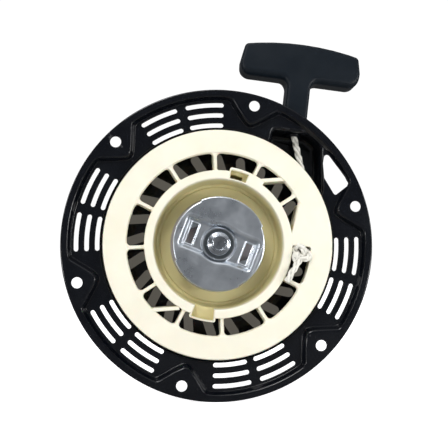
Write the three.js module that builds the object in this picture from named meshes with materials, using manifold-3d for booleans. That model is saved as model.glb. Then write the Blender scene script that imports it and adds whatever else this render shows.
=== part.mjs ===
// Recoil (pull-rope) starter for a small petrol engine.
// The reel turns about the Y axis, the engine is at -Y, the closed outer side of the housing
// is at +Y, and +Z is up. Seen from the engine, X points right, and angles run
// counter-clockwise from +X towards +Z.
// The parts are drawn with the flange face, which bolts to the engine, in y = 0. The last
// lines move them all, so that the origin is the centre of the housing's outer face.
import * as THREE from 'three';
import { mergeVertices } from 'three/addons/utils/BufferGeometryUtils.js';
import Module from 'manifold-3d';

const wasm = await Module();
wasm.setup();

// ---- Driving dimensions, in millimetres and degrees ----

// Stamped housing
const SHEET = 1.5;
const RIM_RADIUS = 98.8;
const RIM_LIP = 3.8;
const SHOULDER_DEPTH = 4;
const SHOULDER_DRAFT = 1.8;
const DRUM_RADIUS = 73.6;
const FACE_DEPTH = 42;
const FACE_CORNER = 6;
const BOLT_CIRCLE_RADIUS = 91.5;
const BOLT_HOLE_RADIUS = 3.5;
const BOLT_COUNT = 6;
const FIRST_BOLT_ANGLE = 15;
const PAD_REACH = 13.2;
const PAD_SLOPE = 2;
const SLOT_ROW_RADII = [76.4, 83, 89.6];
const SLOT_HALF_WIDTH = 1.45;
const SLOT_HALF_ANGLE = 7;
const SLOT_GROUP_OFFSET = 9.75;
const ROPE_SECTOR_ANGLE = 45;
const VENT_COUNT = 24;
const VENT_RADIUS = 55;
const VENT_FIRST_ANGLE = 10.4;
const VENT_SLANT = 22.5;
const VENT_HALF_LENGTH = 9;
const VENT_HALF_WIDTH = 3.1;

// Rope exit, grip and rope
const PULL_TILT = 7;
const EXIT_X = 50.25;
const EXIT_Y = 15;
const EXIT_Z = 72.6;
const POCKET_DEPTH = 24;
const POCKET_RADIUS = 93.5;
const POCKET_SIDE_X = 67.3;
const POCKET_LEFT_X = 36.5;
const POCKET_FOOT_INSET = 4.4;
const POCKET_RIGHT_FOOT_Z = 26;
const POCKET_RIGHT_BEND_Z = 34;
const POCKET_LEFT_FOOT_Z = 58;
const EYELET_OFFSET = 1.2;
const EYELET_BORE = 3;
const EYELET_TUBE = 3.8;
const EYELET_FLANGE = 4.8;
const EYELET_LIP = 1.7;
const ROPE_RADIUS = 2.25;
const ROPE_GROOVE_Y = 11;
const ROPE_LEAD_START_RADIUS = 69.6;
const STEM_END = 5.2;
const STEM_LENGTH = 29.3;
const STEM_HALF_WIDTH = 7.6;
const BAR_HALF_WIDTH = 39.6;
const BAR_HEIGHT = 24.2;
const BAR_SHOULDER_HEIGHT = 20.1;
const BAR_TAPER = 2;
const BAR_CORNER = 5.5;
const STEM_FILLET = 6;
const GRIP_THICKNESS = 18;
const GRIP_ROUNDING = 2.5;
const KNOT_CHAMBER_HALF = 7.2;
const KNOT_CHAMBER_FLOOR = 3.5;
const KNOT_RADIUS = 5.2;
const KNOT_WASHER_THICKNESS = 1.2;
const GRIP_BORE = 2.9;

// Reel
const REEL_FRONT = -1.5;
const REEL_RADIUS = 72.6;
const WINDOW_RADIUS = 57.9;
const PLATE_BACK = 3;
const DRUM_INNER_RADIUS = 60.9;
const DRUM_WALL_RADIUS = 62.4;
const GROOVE_FRONT = 4;
const GROOVE_BACK = 17.5;
const REEL_FLANGE_BACK = 20;
const RING_RADIUS = 46.9;
const CUP_RADIUS = 41.3;
const CUP_FLOOR_RADIUS = 39.2;
const CUP_FLOOR = 12.5;
const PLATFORM_RADIUS = 30;
const PLATFORM = 9;
const WEB_BACK = 16;
const REEL_BACK = 36;
const CHAMBER_RADIUS = 43.5;
const HUB_RADIUS = 11;
const HUB_BORE = 7.3;
const HUB_FRONT = 3.2;
const HUB_BACK = 18;
const SPOKE_COUNT = 12;
const FIRST_SPOKE_ANGLE = 2;
const SPOKE_WIDTH = 2.3;
const SPOKE_FRONT = -0.6;
const WEB_RING_ANGLES = [-1, 5.5];
const WEB_DRUM_ANGLES = [-2, 27.8];
const RIB_RING_ANGLE = 58;
const RIB_DRUM_ANGLE = 42.4;
const BULGE_ANGLES = [[53, 81], [247, 267]];
const BULGE_WIDTH = 2.4;
const BULGE_BACK = 8;
const RECESS_ANGLES = [66, 80];
const RECESS_FLOOR = 3;
const RECESS_HOLE_ANGLES = [69.5, 79.5];
const RECESS_HOLE_FLOOR = 12;
const NOTCH_ANGLES = [248.5, 265.5];
const NOTCH_FLOOR = 4;
const ROPE_HOLE_ANGLE = -9;
const ROPE_HOLE_Y = 9;
const ROPE_HOLE_RADIUS = 2.7;
const WINDING_RADIUS = 66.9;
const WINDING_PITCH = 3.85;
const WINDING_WAIST = 1.4;

// Clutch: guide plate, pawls and the centre screw
const GUIDE_RADIUS = 29.4;
const GUIDE_FRONT = -4;
const GUIDE_SHEET = 1;
const GUIDE_DEPTH = 2.4;
const GUIDE_AXIS_ANGLE = 158.5;
const BOW_HALF_LENGTH = 25.5;
const BOW_HALF_WIDTH = 10.3;
const BOW_CORNER = 3.5;
const WELL_RADIUS = 12.8;
const GUIDE_SLOT_START = 16.5;
const GUIDE_SLOT_END = 20.8;
const GUIDE_SLOT_HALF = 6.6;
const GUIDE_BORE = 5.4;
const SKIRT_RADIUS = 29.9;
const SKIRT_BACK = 1.6;
const SKIRT_ARCS = [[20, 113], [200, 295]];
const PAWL_PIVOT_RADIUS = 20.5;
const PAWL_PIVOT_ANGLES = { pawl_a: 109, pawl_b: 289 };
const PAWL_FRONT = 2.3;
const PAWL_BACK = 6.8;
const PAWL_LENGTH = 19;
const PAWL_BOSS = 5.5;
const PAWL_TIP_HALF_WIDTH = 2.6;
const PAWL_INWARD_LEAN = 8;
const PAWL_POST_RADIUS = 3;
const RETURN_SPRING_RADIUS = 4;
const RETURN_SPRING_LEG = 6;
const RETURN_SPRING_WIRE = 0.9;
const FRICTION_SPRING_RADIUS = 6.8;
const FRICTION_SPRING_LEG = 15;
const FRICTION_SPRING_WIRE = 1.2;
const POST_RADIUS = 7;
const POST_FRONT = 3;
const POST_TAPPING_END = 20;
const POST_SHOULDER_RADIUS = 10.5;
const POST_SHOULDER_FRONT = 18.3;
const POST_FOOT_RADIUS = 16;
const POST_FOOT_THICKNESS = 1.6;
const THREAD_RADIUS = 2.9;
const THREAD_END = 16;
const SCREW_FLANGE_RADIUS = 7.4;
const SCREW_FLANGE_BACK = -1.9;
const HEXAGON_RADIUS = 5.7;
const HEXAGON_FRONT = -6.5;
const HEXAGON_HEIGHT = 3.2;
const WASHER_RADIUS = 9.4;
const WASHER_FRONT = 1.9;
const WASHER_BACK = 2.8;

// Main spring
const SPRING_TURNS = 6;
const SPRING_INNER_RADIUS = 11.6;
const SPRING_OUTER_RADIUS = 42.4;
const SPRING_STRIP = 0.8;
const SPRING_FRONT = 18.8;
const SPRING_BACK = 34;

const ROUND_STEPS = 48;
const MERGE_DISTANCE = 1e-4;

// ---- Materials ----

const material = (color, roughness, metalness) =>
  new THREE.MeshStandardMaterial({ color, roughness, metalness });
const BLACK_PAINT = material(0x14161c, 0.25, 0.2);
const CREAM_NYLON = material(0xf5f0d2, 0.5, 0);
const ZINC_STEEL = material(0x8c939c, 0.35, 0.9);
const SPRING_STEEL = material(0x50545a, 0.4, 0.9);
const BRIGHT_STEEL = material(0xb4b9be, 0.25, 0.95);
const WHITE_ROPE = material(0xf0efe8, 0.9, 0);
const GRIP_PLASTIC = material(0x23282f, 0.6, 0);

// ---- Geometry helpers ----

const radians = THREE.MathUtils.degToRad;

// Turns a geometry about the reel axis, counter-clockwise as seen from the engine.
function turned(geometry, degrees) {
  return geometry.rotateY(-radians(degrees));
}

// A solid of revolution about Y. The profile holds [radius, y] pairs in any direction, and
// closes on itself, or on the axis where it starts and ends at radius 0.
function revolved(profile, steps = ROUND_STEPS) {
  let area = 0;
  profile.forEach(([r, y], i) => {
    const [nextR, nextY] = profile[(i + 1) % profile.length];
    area += r * nextY - nextR * y;
  });
  const outline = area > 0 ? [...profile] : [...profile].reverse();
  const endsOnAxis = outline[0][0] === 0 && outline.at(-1)[0] === 0;
  if (!endsOnAxis) outline.push(outline[0]);
  return new THREE.LatheGeometry(outline.map(([r, y]) => new THREE.Vector2(r, y)), steps);
}

// A prism of a shape drawn in (x, z), from y = near to y = far.
function prism(shape, near, far, curveSegments = 2) {
  const depth = far - near;
  const geometry = new THREE.ExtrudeGeometry(shape, { depth, bevelEnabled: false, curveSegments });
  return geometry.rotateX(Math.PI / 2).translate(0, far, 0);
}

// A prism that starts at y = near with the drawn outline, and widens by `growth` over `rise`.
function flaredPrism(shape, near, rise, growth, straight, curveSegments = 2) {
  const geometry = new THREE.ExtrudeGeometry(shape, {
    depth: straight, bevelEnabled: true, bevelThickness: rise, bevelSize: growth,
    bevelSegments: 1, curveSegments,
  });
  return geometry.rotateX(Math.PI / 2).translate(0, near + rise + straight, 0);
}

function polygon(points) {
  return new THREE.Shape(points.map(([x, z]) => new THREE.Vector2(x, z)));
}

function polar(radius, degrees) {
  return [radius * Math.cos(radians(degrees)), radius * Math.sin(radians(degrees))];
}

function disc(radius, x = 0, z = 0) {
  return new THREE.Shape().absarc(x, z, radius, 0, 2 * Math.PI, false);
}

function ringSector(inner, outer, from, to) {
  const shape = new THREE.Shape();
  shape.absarc(0, 0, outer, radians(from), radians(to), false);
  shape.absarc(0, 0, inner, radians(to), radians(from), true);
  return shape.closePath();
}

// A slot with round ends that follows a circle round the reel axis.
function curvedSlot(radius, halfWidth, halfAngle) {
  const end = radians(halfAngle);
  const shape = new THREE.Shape();
  shape.absarc(0, 0, radius + halfWidth, -end, end, false);
  shape.absarc(radius * Math.cos(end), radius * Math.sin(end), halfWidth, end, end + Math.PI, false);
  shape.absarc(0, 0, radius - halfWidth, end, -end, true);
  shape.absarc(radius * Math.cos(end), -radius * Math.sin(end), halfWidth,
    Math.PI - end, 2 * Math.PI - end, false);
  return shape.closePath();
}

// A straight slot with round ends, centred on (0, 0) and running along x.
function straightSlot(halfLength, halfWidth) {
  const run = halfLength - halfWidth;
  const shape = new THREE.Shape();
  shape.absarc(run, 0, halfWidth, -Math.PI / 2, Math.PI / 2, false);
  shape.absarc(-run, 0, halfWidth, Math.PI / 2, 1.5 * Math.PI, false);
  return shape.closePath();
}

function roundedRectangle(halfX, halfZ, corner) {
  const shape = new THREE.Shape();
  shape.absarc(halfX - corner, halfZ - corner, corner, 0, Math.PI / 2, false);
  shape.absarc(corner - halfX, halfZ - corner, corner, Math.PI / 2, Math.PI, false);
  shape.absarc(corner - halfX, corner - halfZ, corner, Math.PI, 1.5 * Math.PI, false);
  shape.absarc(halfX - corner, corner - halfZ, corner, 1.5 * Math.PI, 2 * Math.PI, false);
  return shape.closePath();
}

// A round bar along a curve through the given points.
function bar(points, radius, steps, sides = 5) {
  const extrudePath = new THREE.CatmullRomCurve3(points.map((p) => new THREE.Vector3(...p)));
  return new THREE.ExtrudeGeometry(disc(radius), { steps, extrudePath, curveSegments: sides });
}

// Geometry to manifold solid and back, for cuts and joins.
function solid(geometry) {
  const bare = geometry.clone();
  bare.deleteAttribute('normal');
  bare.deleteAttribute('uv');
  const merged = mergeVertices(bare, MERGE_DISTANCE);
  const corners = merged.index ? merged.index.array : [...merged.attributes.position.array.keys()];
  const triangles = [];
  for (let i = 0; i < corners.length; i += 3) {
    const [a, b, c] = [corners[i], corners[i + 1], corners[i + 2]];
    if (a !== b && b !== c && c !== a) triangles.push(a, b, c);
  }
  return new wasm.Manifold(new wasm.Mesh({
    numProp: 3,
    vertProperties: merged.attributes.position.array,
    triVerts: new Uint32Array(triangles),
  }));
}

function geometryOf(manifold) {
  const { vertProperties, triVerts } = manifold.getMesh();
  const geometry = new THREE.BufferGeometry();
  geometry.setAttribute('position', new THREE.BufferAttribute(vertProperties, 3));
  geometry.setIndex(new THREE.BufferAttribute(triVerts, 1));
  geometry.computeVertexNormals();
  return geometry;
}

const joined = (first, ...rest) => rest.reduce((sum, each) => sum.add(each), first);
const cut = (first, ...rest) => rest.reduce((sum, each) => sum.subtract(each), first);

function piece(name, geometry, look) {
  const mesh = new THREE.Mesh(geometry, look);
  mesh.name = name;
  return mesh;
}

// ---- The line of pull: an upright frame at the rope exit ----
// Its y axis runs along the pulled rope, its x axis along the grip's bar, and its z axis
// points back at the engine.

const pullLine = new THREE.Group();
pullLine.position.set(EXIT_X, EXIT_Y, EXIT_Z);
pullLine.rotation.set(Math.PI / 2, radians(PULL_TILT), 0, 'YXZ');
pullLine.updateMatrix();

// Height of the flat exit wall, which is square to the pull, above a given x.
function exitWallZ(x, offset = 0) {
  const rise = offset / Math.cos(radians(PULL_TILT));
  return EXIT_Z - (x - EXIT_X) * Math.tan(radians(PULL_TILT)) + rise;
}

// ---- Housing ----

// The flat pad round a bolt hole: a corner of 90 degrees that points at the reel axis.
function padShape(inset) {
  const apex = BOLT_CIRCLE_RADIUS - PAD_REACH + inset * Math.SQRT2;
  const reach = RIM_RADIUS + 6;
  const round = 2.5;
  const shape = new THREE.Shape();
  shape.moveTo(reach, reach - apex);
  shape.lineTo(apex + round, round);
  shape.quadraticCurveTo(apex, 0, apex + round, -round);
  shape.lineTo(reach, apex - reach);
  return shape.closePath();
}

const boltAngles = Array.from({ length: BOLT_COUNT }, (_, i) => FIRST_BOLT_ANGLE + (i * 360) / BOLT_COUNT);

// The recessed shoulder between the rim and the drum, without the bolt pads.
function shoulder(outset, near, far, padInset) {
  const top = RIM_RADIUS - RIM_LIP + outset;
  const profile = [[0, near], [top, near], [top, far - SHOULDER_DEPTH], [top - SHOULDER_DRAFT, far], [0, far]];
  const pads = boltAngles.map((angle) => solid(turned(
    flaredPrism(padShape(padInset), far - SHOULDER_DEPTH, SHOULDER_DEPTH, PAD_SLOPE, 4), angle)));
  return cut(solid(revolved(profile)), ...pads);
}

// The drum, closed at the outer side by a face with a rounded corner.
function drum(radius, near, far, corner) {
  const profile = [[0, near], [radius, near]];
  const steps = 2;
  for (let i = 0; i <= steps; i++) {
    const angle = (i / steps) * (Math.PI / 2);
    profile.push([radius - corner + corner * Math.cos(angle), far - corner + corner * Math.sin(angle)]);
  }
  profile.push([0, far]);
  return solid(revolved(profile));
}

// The pocket that carries the rope from the drum out to the exit wall.
function pocket(grow, near, far) {
  const radius = POCKET_RADIUS + grow;
  const side = POCKET_SIDE_X + grow;
  const sideAngle = Math.acos(side / radius);
  const tilt = radians(PULL_TILT);
  const wallDistance = EXIT_X * Math.sin(tilt) + EXIT_Z * Math.cos(tilt) + grow;
  const wallAngle = Math.PI / 2 - tilt - Math.acos(wallDistance / radius);
  const left = POCKET_LEFT_X - grow;
  const shape = new THREE.Shape();
  shape.moveTo(side - POCKET_FOOT_INSET, POCKET_RIGHT_FOOT_Z);
  shape.lineTo(side, POCKET_RIGHT_BEND_Z);
  shape.absarc(0, 0, radius, sideAngle, wallAngle, false);
  shape.lineTo(left, exitWallZ(left, grow));
  shape.lineTo(left - POCKET_FOOT_INSET, POCKET_LEFT_FOOT_Z);
  shape.closePath();
  return solid(prism(shape, near, far, 2));
}

function slotCutters() {
  const midAngles = boltAngles.map((angle) => angle + 180 / BOLT_COUNT);
  const slottedSectors = midAngles.filter((angle) => angle !== ROPE_SECTOR_ANGLE);
  return slottedSectors.flatMap((angle) => [-SLOT_GROUP_OFFSET, SLOT_GROUP_OFFSET].flatMap((offset) =>
    SLOT_ROW_RADII.map((radius) => solid(turned(
      prism(curvedSlot(radius, SLOT_HALF_WIDTH, SLOT_HALF_ANGLE), SHOULDER_DEPTH - 1,
        SHOULDER_DEPTH + SHEET + 0.1, 1),
      angle + offset)))));
}

function ventCutters() {
  return Array.from({ length: VENT_COUNT }, (_, i) => {
    const geometry = prism(straightSlot(VENT_HALF_LENGTH, VENT_HALF_WIDTH), FACE_DEPTH - SHEET - 1,
      FACE_DEPTH + 1, 1);
    turned(geometry, VENT_SLANT).translate(VENT_RADIUS, 0, 0);
    return solid(turned(geometry, VENT_FIRST_ANGLE + (i * 360) / VENT_COUNT));
  });
}

// The opening in the shoulder beside the rope pocket, as [x, z] corners.
const OPENING = [
  [70, 59.4], [68.7, 53.8], [69.2, 42.3], [75.8, 31], [84.2, 37.2], [84.3, 40.4], [82.4, 43.8],
  [79.2, 48.6], [74.2, 55],
];

function housingGeometry() {
  const flange = solid(revolved([[0, 0], [RIM_RADIUS, 0], [RIM_RADIUS, SHEET], [0, SHEET]]));
  const skin = joined(
    flange,
    shoulder(SHEET, 0.5, SHOULDER_DEPTH + SHEET, 0.93),
    drum(DRUM_RADIUS + SHEET, 0.5, FACE_DEPTH, FACE_CORNER),
    pocket(SHEET, 0.5, POCKET_DEPTH + SHEET),
  );
  const hollow = joined(
    shoulder(0, -1, SHOULDER_DEPTH, 0),
    drum(DRUM_RADIUS, -1, FACE_DEPTH - SHEET, FACE_CORNER - SHEET),
    pocket(0, -1, POCKET_DEPTH),
  );
  const boltHoles = boltAngles.map((angle) =>
    solid(prism(disc(BOLT_HOLE_RADIUS, ...polar(BOLT_CIRCLE_RADIUS, angle)), -1, 9, 8)));
  const eyeletHole = solid(new THREE.CylinderGeometry(EYELET_TUBE + 0.3, EYELET_TUBE + 0.3, 8, 20)
    .translate(EYELET_OFFSET, 0, 0).applyMatrix4(pullLine.matrix));
  return geometryOf(cut(
    cut(skin, hollow),
    ...boltHoles, ...slotCutters(), ...ventCutters(),
    solid(prism(polygon(OPENING), SHOULDER_DEPTH - 1, SHOULDER_DEPTH + SHEET + 1)),
    eyeletHole,
  ));
}

// ---- Parts fixed to the housing ----

// A tapped post on a round foot, which is welded to the inside of the face.
function centrePostGeometry() {
  const tappingRadius = THREAD_RADIUS + 0.3;
  const foot = FACE_DEPTH - SHEET - 0.3;
  return revolved([
    [0, POST_TAPPING_END], [tappingRadius, POST_TAPPING_END], [tappingRadius, POST_FRONT],
    [POST_RADIUS, POST_FRONT], [POST_RADIUS, POST_SHOULDER_FRONT],
    [POST_SHOULDER_RADIUS, POST_SHOULDER_FRONT], [POST_SHOULDER_RADIUS, foot - POST_FOOT_THICKNESS],
    [POST_FOOT_RADIUS, foot - POST_FOOT_THICKNESS], [POST_FOOT_RADIUS, foot], [0, foot],
  ], 24);
}

// A flanged ring on each side of the exit wall, joined by a tube through it.
function eyeletGeometry() {
  const bevel = 0.6;
  const outside = SHEET + 0.3;
  return revolved([
    [EYELET_BORE + bevel, -EYELET_LIP], [EYELET_FLANGE - bevel, -EYELET_LIP], [EYELET_FLANGE, -0.3],
    [EYELET_TUBE, -0.3], [EYELET_TUBE, outside], [EYELET_FLANGE, outside],
    [EYELET_FLANGE - bevel, outside + 1.3], [EYELET_BORE + bevel, outside + 1.3],
    [EYELET_BORE, outside + 0.4], [EYELET_BORE, bevel - EYELET_LIP],
  ], 20).translate(EYELET_OFFSET, 0, 0);
}

// A flanged hexagon screw, with a collar that carries the guide plate.
function centreScrewGeometry() {
  const collar = 5;
  const body = revolved([
    [0, -5], [collar, -5], [SCREW_FLANGE_RADIUS - 0.2, -3.2], [SCREW_FLANGE_RADIUS, -2.8],
    [SCREW_FLANGE_RADIUS, SCREW_FLANGE_BACK], [collar, SCREW_FLANGE_BACK],
    [collar, WASHER_FRONT - 0.2], [THREAD_RADIUS, WASHER_FRONT - 0.2],
    [THREAD_RADIUS, THREAD_END], [0, THREAD_END],
  ], 24);
  const head = new THREE.CylinderGeometry(HEXAGON_RADIUS, HEXAGON_RADIUS, HEXAGON_HEIGHT, 6)
    .translate(0, HEXAGON_FRONT + HEXAGON_HEIGHT / 2, 0);
  return geometryOf(joined(solid(body), solid(head)));
}

function thrustWasherGeometry() {
  const bore = THREAD_RADIUS + 0.4;
  return revolved([
    [bore, WASHER_FRONT], [WASHER_RADIUS, WASHER_FRONT], [WASHER_RADIUS, WASHER_BACK], [bore, WASHER_BACK],
  ], 24);
}

// The rope's run up to the eyelet and through it. Its line is tangent to the rope on the drum,
// but it starts where it is clear of the winding.
function ropeLeadGeometry() {
  const onPullLine = (x, y) => new THREE.Vector3(x, y, 0).applyMatrix4(pullLine.matrix);
  const mouth = onPullLine(EYELET_OFFSET + 0.6, -EYELET_LIP - 0.7);
  const inside = onPullLine(EYELET_OFFSET, 1);
  const end = onPullLine(EYELET_OFFSET - 0.5, 2.9);
  const tangentRadius = WINDING_RADIUS - ROPE_RADIUS;
  const distance = Math.hypot(mouth.x, mouth.z);
  const tangentAngle = Math.atan2(mouth.z, mouth.x) - Math.acos(tangentRadius / distance);
  const tangent = new THREE.Vector3(
    tangentRadius * Math.cos(tangentAngle), ROPE_GROOVE_Y, tangentRadius * Math.sin(tangentAngle));
  const share = Math.sqrt(ROPE_LEAD_START_RADIUS ** 2 - tangentRadius ** 2)
    / Math.sqrt(distance ** 2 - tangentRadius ** 2);
  const start = tangent.clone().lerp(mouth, share);
  const points = [
    start, start.clone().lerp(mouth, 0.45), start.clone().lerp(mouth, 0.88), mouth, inside, end,
  ];
  return bar(points.map((p) => p.toArray()), ROPE_RADIUS, 16);
}

function mainSpringGeometry() {
  const stepsPerTurn = 16;
  const count = SPRING_TURNS * stepsPerTurn;
  const edge = (offset) => Array.from({ length: count + 1 }, (_, i) => {
    const share = i / count;
    const radius = THREE.MathUtils.lerp(SPRING_INNER_RADIUS, SPRING_OUTER_RADIUS, share) + offset;
    return polar(radius, 360 * SPRING_TURNS * share);
  });
  const outline = [...edge(SPRING_STRIP / 2), ...edge(-SPRING_STRIP / 2).reverse()];
  return prism(polygon(outline), SPRING_FRONT, SPRING_BACK);
}

// ---- Reel and what rides on it ----

function reelGeometry() {
  const centre = solid(revolved([
    [HUB_BORE, HUB_FRONT], [HUB_RADIUS, HUB_FRONT], [HUB_RADIUS, PLATFORM], [PLATFORM_RADIUS, PLATFORM],
    [PLATFORM_RADIUS, CUP_FLOOR], [CUP_FLOOR_RADIUS, CUP_FLOOR], [CUP_RADIUS, REEL_FRONT],
    [RING_RADIUS, REEL_FRONT],
    [RING_RADIUS, REEL_BACK], [CHAMBER_RADIUS, REEL_BACK], [CHAMBER_RADIUS, WEB_BACK],
    [HUB_RADIUS, WEB_BACK], [HUB_RADIUS, HUB_BACK], [HUB_BORE, HUB_BACK],
  ]));
  const ropeDrum = solid(revolved([
    [WINDOW_RADIUS, REEL_FRONT + 1.2], [WINDOW_RADIUS + 1.5, REEL_FRONT], [REEL_RADIUS, REEL_FRONT],
    [REEL_RADIUS, PLATE_BACK], [DRUM_WALL_RADIUS, GROOVE_FRONT], [DRUM_WALL_RADIUS, GROOVE_BACK],
    [REEL_RADIUS - 1, GROOVE_BACK + 1], [REEL_RADIUS - 1, REEL_FLANGE_BACK],
    [DRUM_INNER_RADIUS, REEL_FLANGE_BACK], [DRUM_INNER_RADIUS, PLATE_BACK], [WINDOW_RADIUS, PLATE_BACK],
  ]));
  // Pieces that are joined reach this far into each other.
  const overlap = 0.8;
  const spokeStart = RING_RADIUS - overlap;
  const spokeEnd = DRUM_INNER_RADIUS + overlap;
  const half = SPOKE_WIDTH / 2;
  const spokes = Array.from({ length: SPOKE_COUNT }, (_, i) => {
    const shape = polygon([[spokeStart, -half], [spokeEnd, -half], [spokeEnd, half], [spokeStart, half]]);
    return solid(turned(prism(shape, SPOKE_FRONT, WEB_BACK), FIRST_SPOKE_ANGLE + (i * 360) / SPOKE_COUNT));
  });
  const web = new THREE.Shape();
  web.moveTo(...polar(spokeStart, WEB_RING_ANGLES[0]));
  web.absarc(0, 0, WINDOW_RADIUS + overlap, ...WEB_DRUM_ANGLES.map(radians), false);
  web.lineTo(...polar(spokeStart, WEB_RING_ANGLES[1]));
  web.closePath();
  const ribs = [0, 180].map((turn) => {
    const [x1, z1] = polar(RING_RADIUS, RIB_RING_ANGLE);
    const [x2, z2] = polar(spokeEnd, RIB_DRUM_ANGLE);
    const length = Math.hypot(x2 - x1, z2 - z1);
    const geometry = prism(polygon([[0, -half], [length, -half], [length, half], [0, half]]),
      SPOKE_FRONT, WEB_BACK);
    turned(geometry, THREE.MathUtils.radToDeg(Math.atan2(z2 - z1, x2 - x1))).translate(x1, 0, z1);
    return solid(turned(geometry, turn));
  });
  const bulges = BULGE_ANGLES.map(([from, to]) => solid(prism(
    ringSector(RING_RADIUS - overlap, RING_RADIUS + BULGE_WIDTH, from, to), REEL_FRONT, BULGE_BACK)));
  const pawlPosts = Object.values(PAWL_PIVOT_ANGLES).map((angle) =>
    solid(prism(disc(PAWL_POST_RADIUS, ...polar(PAWL_PIVOT_RADIUS, angle)), PAWL_FRONT + 0.2,
      PLATFORM + overlap, 8)));
  const whole = joined(centre, ropeDrum, ...spokes, solid(prism(web, REEL_FRONT, WEB_BACK)), ...ribs,
    ...bulges, ...pawlPosts);
  const recess = solid(prism(
    ringSector(CUP_RADIUS + 0.8, RING_RADIUS - 0.1, ...RECESS_ANGLES), REEL_FRONT - 1, RECESS_FLOOR));
  const recessHole = solid(prism(
    ringSector(CUP_RADIUS + 1.2, CUP_RADIUS + 4, ...RECESS_HOLE_ANGLES), RECESS_FLOOR - 1,
    RECESS_HOLE_FLOOR));
  const notch = solid(prism(
    ringSector(CUP_FLOOR_RADIUS - 1, RING_RADIUS + BULGE_WIDTH / 2, ...NOTCH_ANGLES), REEL_FRONT - 1,
    NOTCH_FLOOR));
  const ropeHole = turned(
    new THREE.CylinderGeometry(ROPE_HOLE_RADIUS, ROPE_HOLE_RADIUS, 6, 12).rotateZ(Math.PI / 2)
      .translate((DRUM_INNER_RADIUS + DRUM_WALL_RADIUS) / 2, ROPE_HOLE_Y, 0), ROPE_HOLE_ANGLE);
  return geometryOf(cut(whole, recess, recessHole, notch, solid(ropeHole)));
}

// The turns of rope that stay in the groove, as one ring with a rope-shaped outside.
function ropeWindingGeometry() {
  const inner = DRUM_WALL_RADIUS + 0.3;
  const middle = (GROOVE_FRONT + GROOVE_BACK) / 2;
  const halfTurn = WINDING_PITCH / 2;
  const waist = WINDING_RADIUS - WINDING_WAIST;
  const profile = [[inner, GROOVE_FRONT + 0.6], [inner, GROOVE_BACK - 0.6]];
  [1, 0, -1].forEach((turn) => {
    const y = middle + turn * WINDING_PITCH;
    profile.push([waist, y + halfTurn - 0.03], [WINDING_RADIUS, y], [waist, y - halfTurn + 0.03]);
  });
  return revolved(profile, 36);
}

function pawlGeometry() {
  const shape = new THREE.Shape();
  shape.moveTo(PAWL_LENGTH, PAWL_TIP_HALF_WIDTH);
  shape.lineTo(0.8, PAWL_BOSS - 0.1);
  shape.absarc(0, 0, PAWL_BOSS, radians(82), radians(278), false);
  shape.lineTo(PAWL_LENGTH - 3, -PAWL_TIP_HALF_WIDTH);
  shape.lineTo(PAWL_LENGTH, -PAWL_TIP_HALF_WIDTH + 1.6);
  shape.closePath();
  shape.holes.push(new THREE.Path().absarc(0, 0, PAWL_POST_RADIUS + 0.15, 0, 2 * Math.PI, true));
  return prism(shape, PAWL_FRONT, PAWL_BACK, 8);
}

function placedPawl(geometry, angle) {
  const [x, z] = polar(PAWL_PIVOT_RADIUS, angle);
  return turned(geometry, angle + 90 + PAWL_INWARD_LEAN).translate(x, 0, z);
}

// A return spring: one open turn of wire round the pawl's post, with a straight leg.
function returnSpringGeometry(angle) {
  const [x, z] = polar(PAWL_PIVOT_RADIUS, angle);
  const y = (PAWL_BACK + PLATFORM) / 2;
  const turn = [-110, -65, -20, 25, 70, 115, 160, 180].map((step) => {
    const [dx, dz] = polar(RETURN_SPRING_RADIUS, angle + step);
    return [x + dx, y, z + dz];
  });
  const [legX, legZ] = polar(RETURN_SPRING_LEG, angle - 90);
  const [lastX, , lastZ] = turn.at(-1);
  const leg = [lastX + legX, y, lastZ + legZ];
  return bar([...turn, leg], RETURN_SPRING_WIRE / 2, 24, 3);
}

// Knot in the reel's window, with the stub through the drum wall and the cut tail.
function reelKnotGeometry() {
  const ball = (r, angle, y, radius) => {
    const [x, z] = polar(r, angle);
    return solid(new THREE.SphereGeometry(radius, 10, 7).translate(x, y, z));
  };
  const at = (r, angle, y) => {
    const [x, z] = polar(r, angle);
    return [x, y, z];
  };
  const middle = 52.5;
  const ropeRadius = ROPE_RADIUS - 0.05;
  const stub = solid(bar([
    at(middle, ROPE_HOLE_ANGLE, ROPE_HOLE_Y - 2), at(56, ROPE_HOLE_ANGLE, ROPE_HOLE_Y),
    at(DRUM_WALL_RADIUS - 0.1, ROPE_HOLE_ANGLE, ROPE_HOLE_Y),
  ], ropeRadius, 4));
  const tail = solid(bar([
    at(middle, ROPE_HOLE_ANGLE, 0), at(middle - 1, ROPE_HOLE_ANGLE - 9, -3.2),
    at(middle - 3, ROPE_HOLE_ANGLE - 19.5, -4.2),
  ], ropeRadius, 6));
  return geometryOf(joined(
    ball(middle, ROPE_HOLE_ANGLE, 2.6, 4.4), ball(middle, ROPE_HOLE_ANGLE + 3.5, -0.6, 3.4), stub, tail));
}

// ---- Guide plate ----

function bowTie(grow) {
  return [
    roundedRectangle(BOW_HALF_LENGTH + grow, BOW_HALF_WIDTH + grow, BOW_CORNER + grow),
    disc(WELL_RADIUS + grow),
  ];
}

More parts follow.
